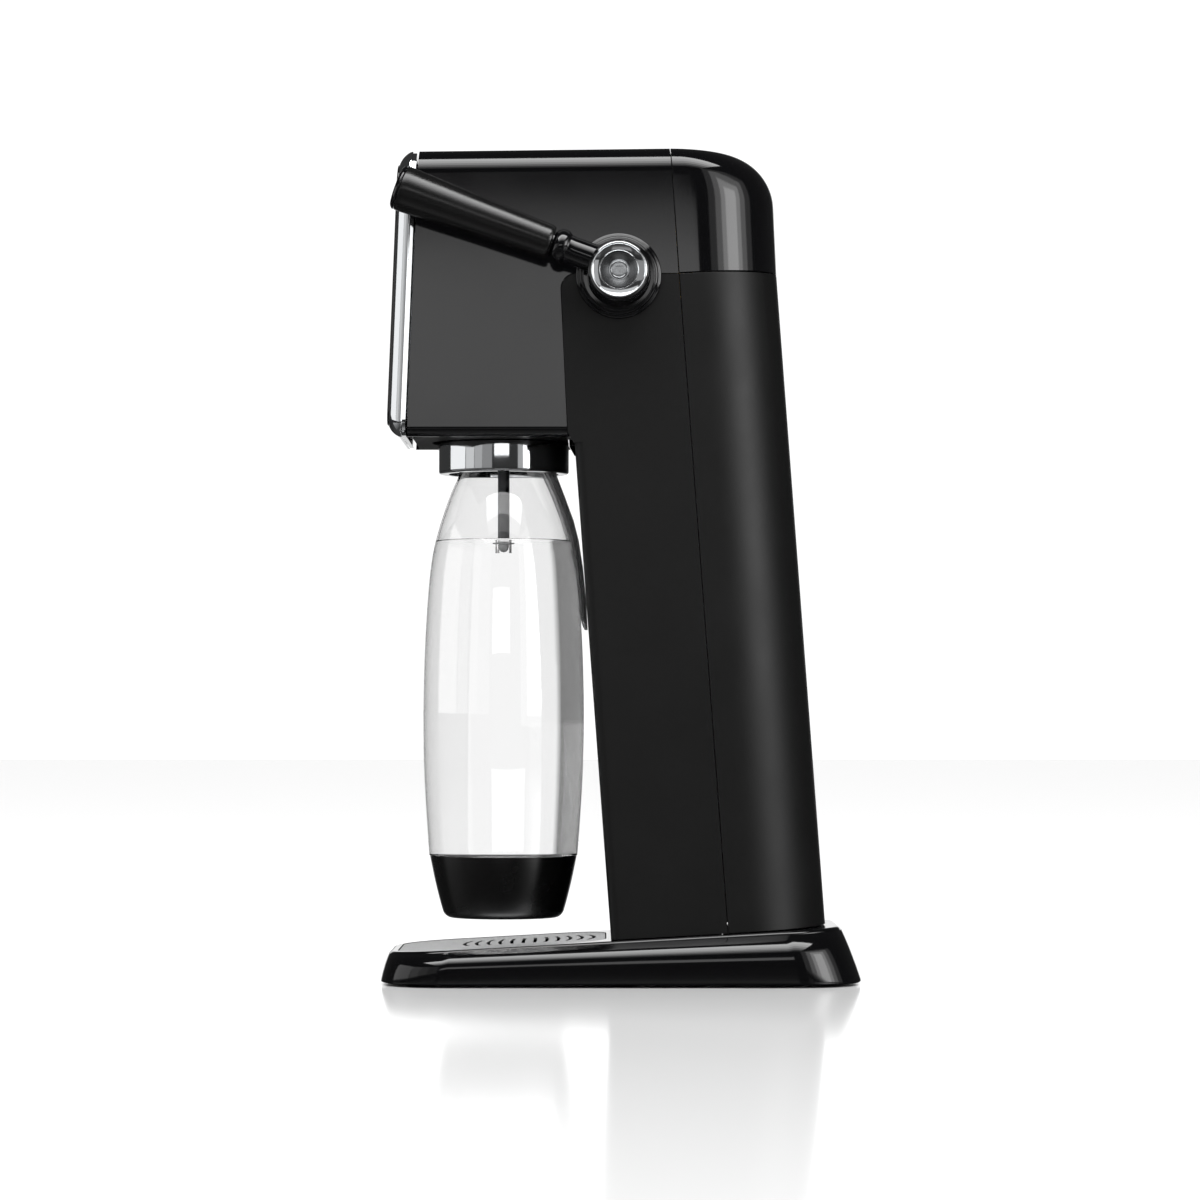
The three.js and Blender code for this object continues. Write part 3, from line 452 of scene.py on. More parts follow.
def moulded(name, code, roughness, grain, depth, haze=(40.0, 0.03), **sockets):
    """Moulded plastic or rubber: grain size and depth in mm, haze as (size in mm, amount)."""
    finish, tree, place = start_finish(name)
    cloud = add_node(tree, "ShaderNodeTexNoise", {"Scale": per_mm(haze[0]), "Detail": 4.0},
                     {"Vector": place})
    rough = add_node(tree, "ShaderNodeMapRange",
                     {"From Min": 0.3, "From Max": 0.7, "To Min": roughness - haze[1],
                      "To Max": roughness + haze[1]}, {"Value": cloud.outputs[0]})
    bumps = add_node(tree, "ShaderNodeTexNoise", {"Scale": per_mm(grain), "Detail": 2.0},
                     {"Vector": place})
    relief = add_node(tree, "ShaderNodeBump", {"Strength": 1.0, "Distance": depth * MM},
                      {"Height": bumps.outputs[0]})
    skin = add_node(tree, "ShaderNodeBsdfPrincipled", {"Base Color": colour(code), **sockets},
                    {"Roughness": rough.outputs[0], "Normal": relief.outputs[0]})
    add_node(tree, "ShaderNodeOutputMaterial", None, {"Surface": skin.outputs[0]})
    print(name, code, "roughness", roughness, "grain", grain, "mm")
    return finish


gloss_black = moulded("polished_black_abs", "#050506", 0.08, 3.0, 0.001, (45.0, 0.015), IOR=1.53)
satin_black = moulded("grained_black_abs", "#0b0b0b", 0.4, 0.6, 0.03, (30.0, 0.03), IOR=1.53,
                      **{"Specular IOR Level": 0.27})
soft_black = moulded("matt_black_abs", "#0b0b0b", 0.55, 0.8, 0.03, (25.0, 0.05), IOR=1.53)
grip_black = moulded("grained_grip_abs", "#090909", 0.24, 0.9, 0.03, (12.0, 0.03), IOR=1.53)
cup_black = moulded("matt_black_cup", "#050505", 0.26, 0.8, 0.01, (20.0, 0.03), IOR=1.5)
rubber_black = moulded("moulded_black_rubber", "#131313", 0.85, 0.9, 0.05, (8.0, 0.06), IOR=1.52)
hose_black = moulded("extruded_black_hose", "#161616", 0.5, 1.2, 0.02, (6.0, 0.08), IOR=1.52)
nylon = moulded("glass_filled_nylon", "#2b2d30", 0.55, 0.7, 0.05, (15.0, 0.06), IOR=1.53)
silicone = moulded("grey_silicone", "#8d8f91", 0.6, 1.0, 0.02, (9.0, 0.05), IOR=1.43)

# %% [markdown]
# ## Metals
# The collar, the frame round the front face and the hub cap are chrome plate over plastic: a
# mirror, with the faint waviness of the plastic below it. The drip plate is stainless sheet brushed
# from side to side, so its grain is long in X and fine in Y. Turned and machined steel shows fine
# rings or scratches, and the screw in the hub is turned bright, a little duller than the chrome
# round it. Each metal keeps the default index of refraction.

# %% Metals
def worked_metal(name, code, roughness, stroke, depth, spread=0.04, **sockets):
    """Metal whose marks are stroke = (x, y, z) long in mm; depth is how deep they are."""
    finish, tree, place = start_finish(name)
    stretch = add_node(tree, "ShaderNodeMapping", {"Scale": tuple(per_mm(size) for size in stroke)},
                       {"Vector": place})
    marks = add_node(tree, "ShaderNodeTexNoise", {"Scale": 1.0, "Detail": 3.0},
                     {"Vector": stretch.outputs[0]})
    rough = add_node(tree, "ShaderNodeMapRange",
                     {"From Min": 0.3, "From Max": 0.7, "To Min": roughness - spread,
                      "To Max": roughness + spread}, {"Value": marks.outputs[0]})
    relief = add_node(tree, "ShaderNodeBump", {"Strength": 1.0, "Distance": depth * MM},
                      {"Height": marks.outputs[0]})
    skin = add_node(tree, "ShaderNodeBsdfPrincipled",
                    {"Base Color": colour(code), "Metallic": 1.0, **sockets},
                    {"Roughness": rough.outputs[0], "Normal": relief.outputs[0]})
    add_node(tree, "ShaderNodeOutputMaterial", None, {"Surface": skin.outputs[0]})
    print(name, code, "roughness", roughness, "marks", stroke, "mm")
    return finish


chrome = worked_metal("chrome_plated_abs", "#e4e6e8", 0.06, (14.0, 14.0, 14.0), 0.004, 0.015)
brushed_steel = worked_metal("brushed_stainless", "#c9cacb", 0.34, (22.0, 0.5, 0.5), 0.006)
turned_steel = worked_metal("turned_bright_steel", "#9c9ea0", 0.2, (3.0, 0.5, 0.5), 0.003)
machined_steel = worked_metal("machined_steel", "#b4b6b8", 0.28, (0.6, 5.0, 5.0), 0.008)
brass = worked_metal("turned_brass", "#b5924c", 0.26, (0.6, 4.0, 4.0), 0.008)

# %% [markdown]
# ## Powder coat, clear plastic and water
# The gas cylinder is powder coated, which leaves a fine pebbled skin. The bottle is blown PET, clear
# and very slightly uneven, and the water in it is what bends the light along its edges. The guide
# leaf behind it is moulded in smoke-tinted plastic that lets most of the light through.

# %% Powder coat, clear plastic and water
powder_coat = moulded("powder_coat", "#8f9aa3", 0.4, 0.9, 0.05, (18.0, 0.05), IOR=1.5)
clear_pet = moulded("clear_blown_pet", "#ffffff", 0.01, 9.0, 0.003, (30.0, 0.005), IOR=1.57,
                    **{"Specular IOR Level": 0.2, "Transmission Weight": 1.0})
water = moulded("still_water", "#ffffff", 0.005, 30.0, 0.0005, (50.0, 0.002), IOR=1.333,
                **{"Transmission Weight": 1.0})
guide_clear = moulded("smoke_clear_plastic", "#b4b4b5", 0.08, 6.0, 0.004, (20.0, 0.02), IOR=1.5,
                      **{"Transmission Weight": 0.8})

# %% [markdown]
# # The base
# The base housing is one gloss moulding: a skirt with steep sides that turn in just below the top, a
# small round along the rim that catches a thin line of light, and a shallow pocket for the drip tray.
# Its top slopes up towards the back. Pushing the outline up through levels gives the skirt and the rim
# in one go; the hollow and the pocket are cut afterwards.

# %% Base housing
base_low, base_high = in_mm("base_housing")
HALF_LENGTH = base_high[1]
BASE_SLOPE = 0.056
FRONT_FLARE, REAR_FLARE, SIDE_FLARE = 4.6, 11.0, 10.5
SIDE_CURVE = 5
WALL = 2.5
GAP = 0.35


def base_top(y):
    """Height of the base's sloping top."""
    return 16.8 + (y + 119.0) * BASE_SLOPE


def base_block(name, inset, bottom, drop, levels):
    """The base as a block; each level is (share of the height, inset, distance below the top)."""
    corner = 34.0 - inset
    outline = rounded_block(base_high[0] - inset, inset - HALF_LENGTH, HALF_LENGTH - inset,
                            corner, corner, 16)

    def place(x, y, level):
        share, shrink, below = level
        end_flare = FRONT_FLARE if y < 0 else REAR_FLARE
        px = x * (1 - max(share ** SIDE_CURVE * SIDE_FLARE + shrink, 0.0) / base_high[0])
        py = y * (1 - (share * end_flare + shrink) / HALF_LENGTH)
        rim = base_top(py) - drop - below
        return (px, py, bottom + (rim - bottom) * share)

    return layered(name, outline, levels, place)


RIM = 2.0
rim_turns = [math.radians(step * 15) for step in range(7)]
rim_levels = [(1.0, RIM * (1 - math.cos(t)), RIM * (1 - math.sin(t))) for t in rim_turns]
skirt = [(0.0, 1.0), (0.02, 0.3), (0.06, 0.0), (0.3, -0.3), (0.45, -0.35), (0.6, -0.4), (0.7, -0.35),
         (0.79, -0.3), (0.87, -0.2), (0.94, -0.1)]
foot_levels = [(share, inset, 0) for share, inset in skirt]
base_shell = base_block("moulded_base_housing", 0.0, base_low[2], 0.0, foot_levels + rim_levels)
hollow = base_block("hollow", WALL, base_low[2] - 0.01, WALL, [(0.0, 0, 0), (1.0, 0, 0)])


def tray_block(name, inset, lower, upper, steps=10):
    """A tray-shaped block between two depths below the base's top."""
    outline = rounded_block(54.6 - inset, inset - 115.4, -7.6 - inset, 27.0 - inset,
                            27.0 - inset, steps)
    return layered(name, outline, [lower, upper], lambda x, y, d: (x, y, base_top(y) + d))


tub = tray_block("tub", -2.0, -9.5, -1.5)
pocket = tray_block("pocket", 0.0, -8.0, 5.0)
shaped(base_shell, cut=[hollow])
shaped(base_shell, join=[tub])
shaped(base_shell, cut=[pocket])
break_edges(base_shell, 0.3)
hand_over(base_shell, "body", "gloss_black", gloss_black, "base_housing")

# %% [markdown]
# ## Drip plate
# The plate is stainless sheet with a row of drain slots that bow outwards from the middle, like the
# staves of a barrel. A Geometry Nodes tree makes the row: a line of points, one curved slot cutter on
# each, bent by how far it stands from the middle, and a boolean that cuts them from the sheet.

# %% Drip plate
def tree_with_inputs(name, inputs):
    """A Geometry Nodes tree with one geometry in and out, and named inputs for its sizes."""
    tree = bpy.data.node_groups.new(name, "GeometryNodeTree")
    face = tree.interface
    face.new_socket("Geometry", in_out="OUTPUT", socket_type="NodeSocketGeometry")
    face.new_socket("Geometry", in_out="INPUT", socket_type="NodeSocketGeometry")
    for label, kind, value in inputs:
        socket = face.new_socket(label, in_out="INPUT", socket_type=kind)
        if value is not None:
            socket.default_value = value
    return tree, add_node(tree, "NodeGroupInput").outputs, add_node(tree, "NodeGroupOutput").inputs


def run_tree(piece, tree, values):
    """Runs a tree on a piece with its inputs set, and keeps the result as a plain mesh."""
    step = piece.modifiers.new(tree.name, "NODES")
    step.node_group = tree
    for item in tree.interface.items_tree:
        if item.item_type == "SOCKET" and item.in_out == "INPUT" and item.name in values:
            step[item.identifier] = values[item.name]
    return settle(piece)


FLOAT = "NodeSocketFloat"
slot_tree, given, result = tree_with_inputs("drain_slots", [
    ("Slot count", "NodeSocketInt", 12), ("First slot Y", FLOAT, 0.0), ("Slot pitch", FLOAT, 0.0),
    ("Half length", FLOAT, 0.0), ("Slot width", FLOAT, 0.0), ("Bow", FLOAT, 0.0),
    ("Middle Y", FLOAT, 0.0), ("Sheet finish", "NodeSocketMaterial", None)])
span = add_node(slot_tree, "GeometryNodeCurvePrimitiveLine")
left = add_node(slot_tree, "ShaderNodeMath", {"operation": "MULTIPLY", 1: -1.0},
                {0: given["Half length"]})
left_end = add_node(slot_tree, "ShaderNodeCombineXYZ", None, {"X": left.outputs[0]})
right_end = add_node(slot_tree, "ShaderNodeCombineXYZ", None, {"X": given["Half length"]})
slot_tree.links.new(left_end.outputs[0], span.inputs["Start"])
slot_tree.links.new(right_end.outputs[0], span.inputs["End"])
fine = add_node(slot_tree, "GeometryNodeResampleCurve", {"Count": 13}, {"Curve": span.outputs[0]})
section = add_node(slot_tree, "GeometryNodeCurvePrimitiveQuadrilateral", {"Height": 0.03},
                   {"Width": given["Slot width"]})
bar = add_node(slot_tree, "GeometryNodeCurveToMesh", {"Fill Caps": True},
               {"Curve": fine.outputs[0], "Profile Curve": section.outputs[0]})
first = add_node(slot_tree, "ShaderNodeCombineXYZ", {"Z": 0.018}, {"Y": given["First slot Y"]})
stride = add_node(slot_tree, "ShaderNodeCombineXYZ", None, {"Y": given["Slot pitch"]})
row = add_node(slot_tree, "GeometryNodeMeshLine", None,
               {"Count": given["Slot count"], "Start Location": first.outputs[0],
                "Offset": stride.outputs[0]})
bars = add_node(slot_tree, "GeometryNodeInstanceOnPoints", None,
                {"Points": row.outputs[0], "Instance": bar.outputs[0]})
real = add_node(slot_tree, "GeometryNodeRealizeInstances", None, {0: bars.outputs[0]})
where = add_node(slot_tree, "GeometryNodeInputPosition")
axes = add_node(slot_tree, "ShaderNodeSeparateXYZ", None, {0: where.outputs[0]})
across = add_node(slot_tree, "ShaderNodeMath", {"operation": "DIVIDE"},
                  {0: axes.outputs["X"], 1: given["Half length"]})
fall = add_node(slot_tree, "ShaderNodeMath", {"operation": "MULTIPLY"},
                {0: across.outputs[0], 1: across.outputs[0]})
rise = add_node(slot_tree, "ShaderNodeMath", {"operation": "SUBTRACT", 0: 1.0},
                {1: fall.outputs[0]})
apart = add_node(slot_tree, "ShaderNodeMath", {"operation": "SUBTRACT"},
                 {0: axes.outputs["Y"], 1: given["Middle Y"]})
scaled = add_node(slot_tree, "ShaderNodeMath", {"operation": "MULTIPLY"},
                  {0: apart.outputs[0], 1: given["Bow"]})
bend = add_node(slot_tree, "ShaderNodeMath", {"operation": "MULTIPLY"},
                {0: rise.outputs[0], 1: scaled.outputs[0]})
shift = add_node(slot_tree, "ShaderNodeCombineXYZ", None, {"Y": bend.outputs[0]})
bowed = add_node(slot_tree, "GeometryNodeSetPosition", None,
                 {"Geometry": real.outputs[0], "Offset": shift.outputs[0]})
pierced = add_node(slot_tree, "GeometryNodeMeshBoolean", {"operation": "DIFFERENCE"},
                   {"Mesh 1": given["Geometry"], "Mesh 2": bowed.outputs[0]})
painted = add_node(slot_tree, "GeometryNodeSetMaterial", None,
                   {"Geometry": pierced.outputs[0], "Material": given["Sheet finish"]})
slot_tree.links.new(painted.outputs[0], result[0])

drip_plate = tray_block("brushed_drip_plate", 0.5, -1.4, -0.2)
run_tree(drip_plate, slot_tree, {"Slot count": 12, "First slot Y": -0.0784, "Slot pitch": 0.00555,
                                 "Half length": 0.023, "Slot width": 0.0016, "Bow": 0.11,
                                 "Middle Y": -0.048, "Sheet finish": brushed_steel})
break_edges(drip_plate, 0.25)
hand_over(drip_plate, "drip_tray", "satin_steel", brushed_steel, "drip_plate")

# %% [markdown]
# # The column
# The column leans forward as it rises. Its front shell carries two shoulders that reach up into the
# head, flush with its sides, so only a fine seam shows there. The rear cover slides off towards the
# back, which is why its foot and its top seam both follow the slope of the base.

# %% Column
COLUMN_TOP = 365.0
HALF_WIDTH = in_mm("column_shell")[1][0]
HEAD_BOTTOM = in_mm("head_bezel")[0][2]
PIVOT = [value / MM for value in (0.0, -0.0013, 0.3634)]
FAR = 200.0


def leaning(y, z):
    """Y of a column line at height z."""
    return y - (z - 34.0) * 0.0737


def column_block(name, inset, foot_lift, top, rows=2):
    """The leaning column from its foot on the base up to a level top."""
    outline = rounded_block(HALF_WIDTH - inset, inset - 6.0, 106.0 - inset, max(5.0 - inset, 1.0),
                            44.0 - inset, 20)

    def place(x, y, share):
        foot = base_top(y) + foot_lift
        z = foot + (top - foot) * share
        return (x, leaning(y, z), z)

    return layered(name, outline, [row / (rows - 1) for row in range(rows)], place)


def behind(name, y):
    """Everything behind a column line."""
    low, high = -20.0, COLUMN_TOP + 60.0
    outline = [(leaning(y, low), low), (FAR, low), (FAR, high), (leaning(y, high), high)]
    return side_plate(name, outline, -90, 90)


def in_front_of(name, y):
    """Everything in front of a column line."""
    low, high = -20.0, COLUMN_TOP + 60.0
    outline = [(-FAR, low), (leaning(y, low), low), (leaning(y, high), high), (-FAR, high)]
    return side_plate(name, outline, -90, 90)


def shoulder(name, grow, x_low, x_high):
    """The shoulder that reaches into the head, with its rounded front corner."""
    front, top, corner = -30.8 - grow, COLUMN_TOP - GAP + grow, 8.0
    outline = [(60.0, HEAD_BOTTOM - 3), (60.0, top)]
    for step in range(9):
        turn = math.radians(90 + 90 * step / 8)
        outline.append((front + corner + corner * math.cos(turn), top - corner + corner * math.sin(turn)))
    outline += [(-27.4 - grow, HEAD_BOTTOM + 2), (-24.6 - grow, HEAD_BOTTOM - 3)]
    return side_plate(name, outline, x_low, x_high)


def shaft_passage(name):
    """Round passage for the lever shaft through the side wall."""
    return turned(name, [(0, 40), (13, 40), (13, 70), (0, 70)], PIVOT[1:], "X", 48)


column = column_block("grained_column_shell", 0.0, GAP + 0.3, HEAD_BOTTOM - 0.5)
inside = column_block("inside", WALL, -5.0, HEAD_BOTTOM + 5.0)
shaped(column, cut=[inside])
shoulders = shoulder("shoulders", 0.0, -HALF_WIDTH, HALF_WIDTH)
shaped(shoulders, cut=[cuboid("between", (WALL - HALF_WIDTH, -100, 200), (HALF_WIDTH - WALL, 100, 400))])
shaped(column, join=[shoulders])
shaped(column, cut=[behind("rear_part", 54.0 - GAP / 2), shaft_passage("passage")])
break_edges(column, 0.3)
hand_over(column, "body", "satin_black", satin_black, "column_shell")


def above_cover_seam(name, shift):
    """Everything above the seam between rear cover and rear cap."""
    def seam(y):
        return COLUMN_TOP + shift + (y - 29.5) * BASE_SLOPE
    outline = [(-FAR, seam(-FAR)), (FAR, seam(FAR)), (FAR, 600.0), (-FAR, 600.0)]
    return side_plate(name, outline, -90, 90)


rear_cover = column_block("grained_rear_cover", 0.0, GAP + 0.3, COLUMN_TOP + 5.0)
inside = column_block("inside", WALL, -5.0, COLUMN_TOP + 10.0)
button = rounded_block(12.5, 337.5, 350.5, 4, 4, 8)
button_hole = layered("button_hole", button, [70.0, 100.0], lambda x, z, y: (x, y, z))
shaped(rear_cover, cut=[inside])
shaped(rear_cover, cut=[above_cover_seam("above_seam", -GAP), in_front_of("front_part", 54.0 + GAP / 2)])
shaped(rear_cover, cut=[button_hole])
break_edges(rear_cover, 0.3)
hand_over(rear_cover, "rear_cover", "satin_black", satin_black, "rear_cover")

# %% [markdown]
# # The head
# The head shell is a block with a big round along its upper edges. Its front end leans, its roof
# falls a little to the front, and the column's shoulders are cut out of its sides with an even gap.

# %% Head shell
HEAD_TOP = in_mm("rear_cap")[1][2]
FACE_TOP = 429.1
SIDE_ROUND = 13.0


def face_y(z):
    """Y of the head's leaning front face at height z."""
    return -120.8 + (z - HEAD_BOTTOM) * 0.0395


def roof_z(y):
    """Height of the head's roof at y."""
    return FACE_TOP + (HEAD_TOP - FACE_TOP) * (y + 109.0) / 136.0


def rear_seam_y(z):
    """Y of the seam between head shell and rear cap."""
    return 29.5 - (z - COLUMN_TOP) * 0.066


def head_block(name, inset, reach, steps=18):
    """The head between its front rim and the rear seam; reach runs it past both."""
    outline = rounded_block(HALF_WIDTH - inset, HEAD_BOTTOM + inset, HEAD_TOP - inset, 5.0,
                            SIDE_ROUND - inset, steps)

    def place(x, z, level):
        front = face_y(z) + 11.0 - reach
        rear = rear_seam_y(z) - GAP / 2 + reach
        y = rear + (front - rear) * level
        share = (z - HEAD_BOTTOM) / (HEAD_TOP - HEAD_BOTTOM)
        return (x, y, z + share * (roof_z(y) - HEAD_TOP))

    return layered(name, outline, [0.0, 1.0], place)


head = head_block("moulded_head_shell", 0.0, 0.0)
shaped(head, cut=[head_block("inside", WALL, 5.0)])
under_cut = cuboid("under_cut", (-50, -100, HEAD_BOTTOM - 5), (50, 100, HEAD_BOTTOM + 5))
lip_cut = cuboid("lip_cut", (-50, -130, HEAD_BOTTOM - 5), (50, -99, HEAD_BOTTOM + 5))
foot_cut = cuboid("foot_cut", (-90, -25, HEAD_BOTTOM - 5), (90, 60, HEAD_BOTTOM + 1))
shaped(head, cut=[under_cut])
shaped(head, cut=[lip_cut])
shaped(head, cut=[shoulder("shoulder_gap", GAP, -90, 90)])
shaped(head, cut=[foot_cut, shaft_passage("passage")])
break_edges(head, 0.3)
hand_over(head, "body", "gloss_black", gloss_black, "head_shell")

# %% [markdown]
# ## Front frame and panel
# A chrome frame closes the front of the head. It is one plated moulding in steps: a back flange, a
# narrow step, a broad side band and a chamfer that turns in to the black panel. Each step is a level
# of the same outline, set back from the leaning face by a depth and in by an inset.

# %% Front frame and panel
def face_block(name, levels, steps=14):
    """A frame or plate in the plane of the front face; levels are (depth, inset)."""
    outline = rounded_block(HALF_WIDTH, HEAD_BOTTOM, FACE_TOP, 8.0, SIDE_ROUND, steps)
    middle, high = (HEAD_BOTTOM + FACE_TOP) / 2, (FACE_TOP - HEAD_BOTTOM) / 2

    def place(x, z, level):
        depth, inset = level
        pz = middle + (z - middle) * (high - inset) / high
        return (x * (HALF_WIDTH - inset) / HALF_WIDTH, face_y(pz) + depth, pz)

    return layered(name, outline, levels, place)


frame_ring = face_block("chrome_front_frame", [
    (10.0, 1.0), (9.8, 0.8), (8.3, 0.8), (8.05, 0.7), (8.0, 0.45), (7.9, 0.25), (7.7, 0.12),
    (7.4, 0.06), (6.4, 0.3), (5.2, 0.95), (4.0, 1.8), (2.8, 2.9), (1.9, 4.1), (1.3, 5.0),
    (1.05, 5.6), (1.0, 6.0)])
seat = face_block("seat", [(4.0 + GAP, 5.8), (-5.0, 5.8)])
opening = face_block("opening", [(15.0, 10.0), (-5.0, 10.0)])
shaped(frame_ring, cut=[seat])
shaped(frame_ring, cut=[opening])
break_edges(frame_ring, 0.12, 2, 50)
hand_over(frame_ring, "body", "chrome", chrome, "head_bezel")

panel_levels = [(4.0, 6.3), (0.9, 6.3)]
for step in range(5):
    turn = math.radians(18 * (step + 1))
    panel_levels.append((0.9 - 0.9 * math.sin(turn), 7.2 - 0.9 * math.cos(turn)))
panel = face_block("glossy_front_panel", panel_levels)
break_edges(panel, 0)
hand_over(panel, "body", "gloss_black", gloss_black, "front_panel")

# %% [markdown]
# ## Rear cap
# The cap closes the head at the back. It is rounded in plan and over the top, so each level of its
# outline shrinks as an arc does: a large round to the rear and a smaller one to the sides.

# %% Rear cap
REAR_ROUND = 27.0


def cap_block(name, inset, bottom, front, steps=20):
    """The domed cap; inset gives its inner surface."""
    top, round_rear, round_side = HEAD_TOP - inset, REAR_ROUND - inset, SIDE_ROUND - inset
    rear = leaning(106.0, COLUMN_TOP) - inset
    half = HALF_WIDTH - inset
    turns = [math.radians(5 * step) for step in range(19)]
    heights = [bottom] + [top - round_rear + round_rear * math.sin(turn) for turn in turns]

    def shrink(radius, z):
        climb = min(max(z - (top - radius), 0.0), radius)
        return radius - math.sqrt(radius * radius - climb * climb)

    def place(x, y, z):
        depth = rear - front
        py = front + (y - front) * (depth - shrink(round_rear, z)) / depth
        return (x * (half - shrink(round_side, z)) / half, py + (COLUMN_TOP - z) * 0.045, z)

    outline = rounded_block(half, front, rear, 0.5, 44.0 - inset, steps)
    return layered(name, outline, heights, place)


cap = cap_block("moulded_rear_cap", 0.0, COLUMN_TOP, 10.0)
shaped(cap, cut=[cap_block("inside", WALL, COLUMN_TOP - 5.0, 0.0)])
seam_outline = [(-FAR, 300), (rear_seam_y(300) + GAP / 2, 300), (rear_seam_y(500) + GAP / 2, 500),
                (-FAR, 500)]
shaped(cap, cut=[side_plate("before_seam", seam_outline, -90, 90)])
shaped(cap, keep=[above_cover_seam("above_seam", GAP / 2)])
break_edges(cap, 0.3)
hand_over(cap, "body", "gloss_black", gloss_black, "rear_cap")

# %% [markdown]
# # The lever
# Every part of the lever is turned: a stepped pedestal ring on the head's side, the hub barrel, a
# dished chrome cap with a screw in its middle, and on the other axis the neck, the bead and the
# tapered grip. The grip is modelled level and swung up to its rest angle about the lever's shaft.

# %% Pedestal and hub
HUB_END, HUB_FACE = 84.0, in_mm("hub_cap")[1][0]
SIDE = HALF_WIDTH + GAP
pedestal = turned("stepped_pedestal", eased([
    (6.5, SIDE), (22, SIDE), (22, SIDE + 2.4, 1.6), (20.2, SIDE + 3.0, 0.4), (20, SIDE + 4.6, 1.2),
    (18.4, SIDE + 5.0, 0.3), (18.2, SIDE + 5.4, 0.3), (6.5, SIDE + 5.4)]), PIVOT[1:], "X", 128)
hand_over(smooth_turned(pedestal), "body", "gloss_black", gloss_black, "lever_pedestal")

cap_back = HUB_END + GAP
hub_cap = turned("chrome_hub_cap", eased([
    (9.6, cap_back), (14.2, cap_back), (14.2, HUB_FACE - 0.1, 0.35), (13.3, HUB_FACE - 0.05, 0.2),
    (13.1, HUB_FACE - 0.4, 0.1), (9.9, HUB_FACE - 1.3, 0.1), (9.75, HUB_FACE - 0.75, 0.1),
    (9.6, HUB_FACE - 0.75, 0.05)]), PIVOT[1:], "X", 160)
hand_over(smooth_turned(hub_cap, 24), "lever", "chrome", chrome, "hub_cap")

hub_screw = turned("chrome_hub_screw", eased([
    (0, cap_back), (9.3, cap_back), (9.3, HUB_FACE - 1.15, 0.1), (5.3, HUB_FACE - 2.1, 0.1),
    (5.1, HUB_FACE - 2.3), (4.6, HUB_FACE - 2.3), (4.5, HUB_FACE - 0.95, 0.25),
    (4.0, HUB_FACE - 0.85, 0.2), (3.8, HUB_FACE - 1.1, 0.1), (0, HUB_FACE - 1.1)]), PIVOT[1:], "X", 128)
socket = rounded_block(1.9, PIVOT[2] - 1.9, PIVOT[2] + 1.9, 0.2, 0.2, 2)
drive = layered("drive", [(y + PIVOT[1], z) for y, z in socket], [HUB_FACE - 2.6, HUB_FACE + 5],
                lambda y, z, x: (x, y, z))
smooth_turned(shaped(hub_screw, cut=[drive]), 24)
hand_over(hub_screw, "lever", "chrome", turned_steel, "hub_screw")

# %% Neck, grip and end cap
GRIP_X = (in_mm("lever_grip")[0][0] + in_mm("lever_grip")[1][0]) / 2
GRIP_END = 118.5
NECK_OFFSET = 1.9
RISE = math.radians(20.2)


def swung_up(piece):
    """Turns a piece made about +Z round to face forwards, and lifts it to the rest angle."""
    for corner in piece.data.vertices:
        x, y, z = corner.co
        along, up = z, y + NECK_OFFSET * MM
        corner.co = (x + GRIP_X * MM, PIVOT[1] * MM - along * math.cos(RISE) + up * math.sin(RISE),
                     PIVOT[2] * MM + along * math.sin(RISE) + up * math.cos(RISE))
    return piece


bore = 4.3
hub = turned("gloss_lever_arm", eased([
    (bore, 62.1), (16.4, 62.1, 0.4), (16.4, 64.1, 0.4), (15.8, HUB_END - 1, 0.5),
    (15, HUB_END, 0.3), (bore, HUB_END)]), PIVOT[1:], "X", 128)
neck = swung_up(turned("neck", eased([
    (0, 8), (7.4, 8), (7.1, 26, 1), (7.4, 28.4, 0.5), (8.7, 30, 1.2), (9.0, 32, 1), (8.7, 34, 1.2),
    (7.2, 35.8, 0.5), (6, 36.4, 0.3), (6, 44), (0, 44)]), steps=96))
shaped(hub, join=[neck])
shaped(hub, cut=[turned("bore", [(0, 50), (bore, 50), (bore, 100), (0, 100)], PIVOT[1:], "X", 48)])
hand_over(smooth_turned(hub, 28), "lever", "gloss_black", gloss_black, "lever_arm")

grip = swung_up(turned("tapered_grip", eased([
    (6.4, 37.35), (8.2, 37.35, 0.5), (8.9, 39, 0.8), (10.2, 80), (11.7, GRIP_END - 2, 1),
    (11.5, GRIP_END, 0.4), (6.4, GRIP_END)]), steps=96))
hand_over(smooth_turned(grip), "lever", "satin_black", grip_black, "lever_grip")

tip_start = GRIP_END + GAP
tip = swung_up(turned("grip_end_cap_round", eased([
    (0, tip_start), (11.5, tip_start, 0.2), (11.6, tip_start + 0.8, 0.6), (10.2, tip_start + 2.2, 1.4),
    (6, tip_start + 2.6, 2), (0, tip_start + 2.65)]), steps=96))
hand_over(smooth_turned(tip), "lever", "gloss_black", gloss_black, "grip_end_cap")

# %% [markdown]
# # Bottle and collar
# The chrome collar is a plain turned ring with small rounds on its edges. The bottle is a blown shell
# of even wall, spun from a smooth side curve, with a moulded cup pressed over its domed foot. The
# water is its own closed solid that overlaps the wall by a hair, so light passes from plastic to
# water without a film of air between them.

# %% Collar
BOTTLE_AXIS = (0.0, (in_mm("bottle_body")[0][1] + in_mm("bottle_body")[1][1]) / 2)
ring_low, ring_high = in_mm("collar_ring")
ring_radius = (ring_high[0] - ring_low[0]) / 2
collar = turned("chrome_collar_ring", eased([
    (28.8, ring_low[2], 0.3), (ring_radius, ring_low[2], 1.6), (ring_radius, ring_high[2], 0.5),
    (28.8, ring_high[2])], 6), BOTTLE_AXIS, "Z", 160)
hand_over(smooth_turned(collar), "carriage", "chrome", chrome, "collar_ring")

